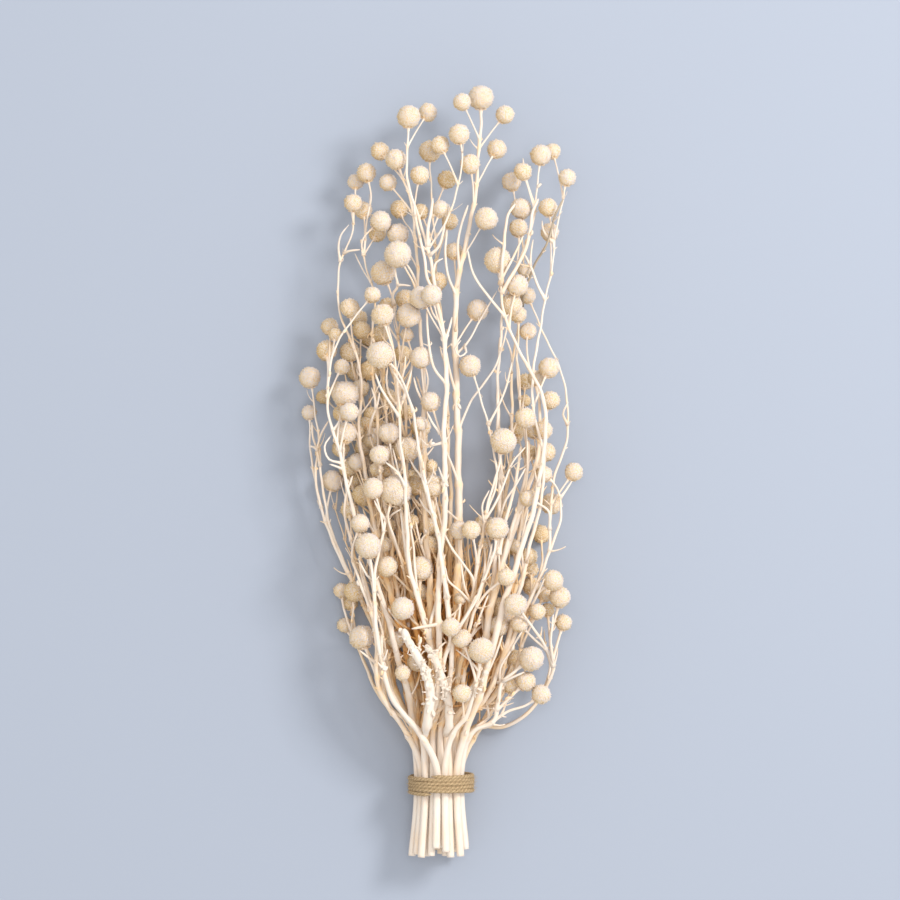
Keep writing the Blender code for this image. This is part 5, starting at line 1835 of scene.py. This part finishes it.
routes = limb_routes()
heads = []
for head in bunch.heads:
    heads.append((head["strand"]["number"], skeleton[head["id"]], head["radius"] * HEAD_FULLNESS))
heads += add_further_heads(routes)
head_centres = np.array([centre for _, centre, _ in heads])
head_radii = np.array([radius for _, _, radius in heads])
for *place, share in FULLER_HEADS:
    number = np.hypot(*(head_centres[:, :2] - plan_place(*place)).T).argmin()
    head_radii[number] *= share
    heads[number] = heads[number][:2] + (head_radii[number],)
add_shown_twigs(routes)
scraps = clinging(routes, SCRAPS)
peelings = clinging(routes, BARK_CURLS)
add_runners(routes)
add_pairs(routes)
tops = pile_tops(routes)
spray_random = np.random.default_rng(7)
for number in range(len(SPRAYS)):
    spray_parts = wood_parts(number, routes, scraps, peelings, spray_random)
    for limb_number, centre, radius in heads:
        if routes[limb_number]["spray"] == number:
            spray_parts += head_parts(routes[limb_number], centre, radius, spray_random)
    node = f"spray_{number + 1:02d}"
    spray_mesh = joined_mesh(node + "_dried", spray_parts)
    spray = shown_piece(spray_mesh, (bleached_wood, dried_florets, weathered_wood))
    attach(spray, "root")
    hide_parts(node)

# The tie: natural twine of three twisted strands, wound five times round the stems, thinning at its
# ends.
TWINE_RADIUS = TWINE_DIAMETER / 2
TWINE_STRANDS = 3
TWINE_LAY = 7.0
TWINE_RING_SPACING = 0.7
TWINE_SIDES = 15
TWINE_START = 0.6 * math.pi
TWINE_CREST = 0.80
TWINE_GROOVE = 0.20
TWINE_GRAIN_STRETCH = 0.35
TWINE_END = 3.0
TWINE_END_SHARE = 0.35
TWINE_END_TINT = 0.2
TWINE_BITE = 0.25

# Waves of the wound twine, in and out and along the stems: height, waves per radian and phase
TWINE_PRESSING = ((0.12, 3.1, 0.0), (0.10, 7.3, 1.0))
TWINE_WANDER = ((0.16, 1.7, 0.0), (0.10, 4.3, 2.0))

# Loose hairs
FIBRES = 320
FIBRE_END_RINGS = 4
FIBRE_SIDEWAYS = (-1.2, 1.2)
FIBRE_OUTWARDS = 0.6
FIBRE_RINGS = 6
FIBRE_RADIUS = 0.05
FIBRE_THINNING = 0.6
FIBRE_LENGTHS = (1.0, 3.6)
FIBRE_CURLS = (0.2, 1.8)
FIBRE_ROOT = 0.85
FIBRE_TINTS = (0.5, 1.0)


def wound_twine():
    """The twine as one tube round the bundle.

    Its middle is a helix: angle a, radius of the tie's own ring, and one diameter on per turn. Its
    own radius at angle b is 0.80 + 0.20 |cos(1.5 b)|, turning as it goes, for three round strands.
    The tint is 4 times that less 3.2: 0.8 on a strand, and 0 in a groove, as painted shade.
    """
    middle_radius = TIE_INNER_RADIUS + TWINE_RADIUS
    length = 2 * math.pi * middle_radius * TIE_TURNS
    rings = int(length / TWINE_RING_SPACING)
    turn = np.linspace(0.0, 2 * math.pi * TIE_TURNS, rings) + TWINE_START
    distance = np.linspace(0.0, length, rings)
    pressed = sum(height * np.sin(rate * turn + phase) for height, rate, phase in TWINE_PRESSING)
    wander = sum(height * np.sin(rate * turn + phase) for height, rate, phase in TWINE_WANDER)
    reach = middle_radius - TWINE_BITE + pressed
    done = (turn - turn[0]) / (2 * math.pi) - TIE_TURNS / 2
    advance = TWINE_DIAMETER * (TIE_TURNS - 1) / TIE_TURNS
    route = np.stack((
        reach * np.cos(turn), TIE_Y + done * advance + wander, TIE_HEIGHT + reach * np.sin(turn),
    ), 1)
    tangents = unit(np.gradient(route, axis=0))
    outwards = unit((route - (0.0, 0.0, TIE_HEIGHT)) * (1.0, 0.0, 1.0))
    over = unit(np.cross(tangents, outwards))
    across = np.cross(over, tangents)
    angles = 2 * math.pi * np.arange(TWINE_SIDES) / TWINE_SIDES
    twist = angles[None, :] + (2 * math.pi * distance / TWINE_LAY)[:, None]
    lobes = TWINE_CREST + TWINE_GROOVE * np.abs(np.cos(TWINE_STRANDS / 2 * twist))
    from_end = np.minimum(distance, distance[-1] - distance)
    fade = np.clip(from_end / TWINE_END, TWINE_END_SHARE, 1.0)
    size = (TWINE_RADIUS * fade[:, None] * lobes)[:, :, None]
    ring_points = route[:, None] + size * round_rings(angles, across, over)
    grain = (np.cos(twist), np.sin(twist), distance[:, None] * TWINE_GRAIN_STRETCH)
    # Painted shade: darker in the grooves between the strands
    tint = lobes * 4 - 3.2
    tube = tube_part(route, ring_points, grain, tint, (TWINE_END_TINT, TWINE_END_TINT))
    return tube, route, outwards, tangents


def twine_fibres(route, outwards, tangents, random):
    """Loose hairs of the twine: thin straps that leave its surface and curl along it."""
    ring = random.integers(FIBRE_END_RINGS, len(route) - FIBRE_END_RINGS, FIBRES)
    sideways = np.cross(tangents[ring], outwards[ring])
    lean = random.uniform(*FIBRE_SIDEWAYS, FIBRES)[:, None]
    out = unit(outwards[ring] + sideways * lean)
    forwards = tangents[ring] * random.choice((-1.0, 1.0), FIBRES)[:, None]
    directions = unit(out * FIBRE_OUTWARDS + forwards)
    bends = unit(np.cross(directions, unit(random.normal(0, 1, (FIBRES, 3)))))
    share = np.linspace(0.0, 1.0, FIBRE_RINGS)[None, :]
    widths = FIBRE_RADIUS * (1 - FIBRE_THINNING * share) + np.zeros((FIBRES, 1))
    lengths = random.uniform(*FIBRE_LENGTHS, FIBRES)
    curls = random.uniform(*FIBRE_CURLS, FIBRES)
    roots = route[ring] + out * TWINE_RADIUS * FIBRE_ROOT
    tint = random.uniform(*FIBRE_TINTS, FIBRES)
    return little_straps(roots, directions, bends, lengths, curls, widths, widths, tint)


# Tan plant fibre, with painted shade darker between the strands, and fine hairs along each
TWINE_LAYERS = ((GRAIN, (3.4, 4.0, 0.5), (0.35, 0.65), (-0.25, 0.25)),)
TAN = ((0.0, (0.17, 0.10, 0.045)), (1.0, (0.66, 0.50, 0.30)))
natural_twine = dry_finish("natural_twine", TAN, TWINE_LAYERS, roughness=0.92, gloss=0.2, relief=0.6)

twine_part, twine_route, twine_outwards, twine_tangents = wound_twine()
fibre_part = twine_fibres(twine_route, twine_outwards, twine_tangents, np.random.default_rng(3))
twine = shown_piece(joined_mesh("tie_twine", [twine_part, fibre_part]), (natural_twine,))
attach(twine, "root")
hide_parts("tie")

# The floor is plain and pale. Soft light comes from the upper right and from above, with an even
# light from all round. Sizes here are in metres.
FLOOR_REACH = 3.0
FLOOR_DROP = 0.0002
FLOOR_COLOUR = (0.358, 0.401, 0.486, 1.0)
ROOM_COLOUR = (1.0, 0.985, 0.965, 1.0)
ROOM_STRENGTH = 0.92
floor_mesh = bpy.data.meshes.new("floor")
floor_corners = np.array(((-1, -1, 0), (1, -1, 0), (1, 1, 0), (-1, 1, 0))) * FLOOR_REACH
floor_mesh.from_pydata(floor_corners.tolist(), [], [(0, 1, 2, 3)])
floor_finish = bpy.data.materials.new("pale_floor")
floor_finish.use_nodes = True
floor_shader = floor_finish.node_tree.nodes["Principled BSDF"]
floor_shader.inputs["Base Color"].default_value = FLOOR_COLOUR
floor_shader.inputs["Roughness"].default_value = 0.8
floor = shown_piece(floor_mesh, (floor_finish,))
floor.location = (0, 0, -FLOOR_DROP)


def soft_light(name, place, size, power, colour):
    """A square lamp of this size in metres at a place, facing the middle of the bunch."""
    lamp = bpy.data.lights.new(name, "AREA")
    lamp.size = size
    lamp.energy = power
    lamp.color = colour
    made = bpy.data.objects.new(name, lamp)
    made.location = place
    made.rotation_euler = (-made.location).to_track_quat("-Z", "Y").to_euler()
    bpy.context.scene.collection.objects.link(made)


soft_light("window_light", (1.15, 0.75, 1.35), 0.5, 22.0, (1.0, 0.98, 0.95))
soft_light("ceiling_light", (0.15, 0.15, 2.4), 0.8, 12.0, (1.0, 0.98, 0.96))
world = bpy.data.worlds.new("room")
world.use_nodes = True
background = world.node_tree.nodes["Background"]
background.inputs["Color"].default_value = ROOM_COLOUR
background.inputs["Strength"].default_value = ROOM_STRENGTH
bpy.context.scene.world = world
bpy.context.scene.view_settings.view_transform = "Standard"
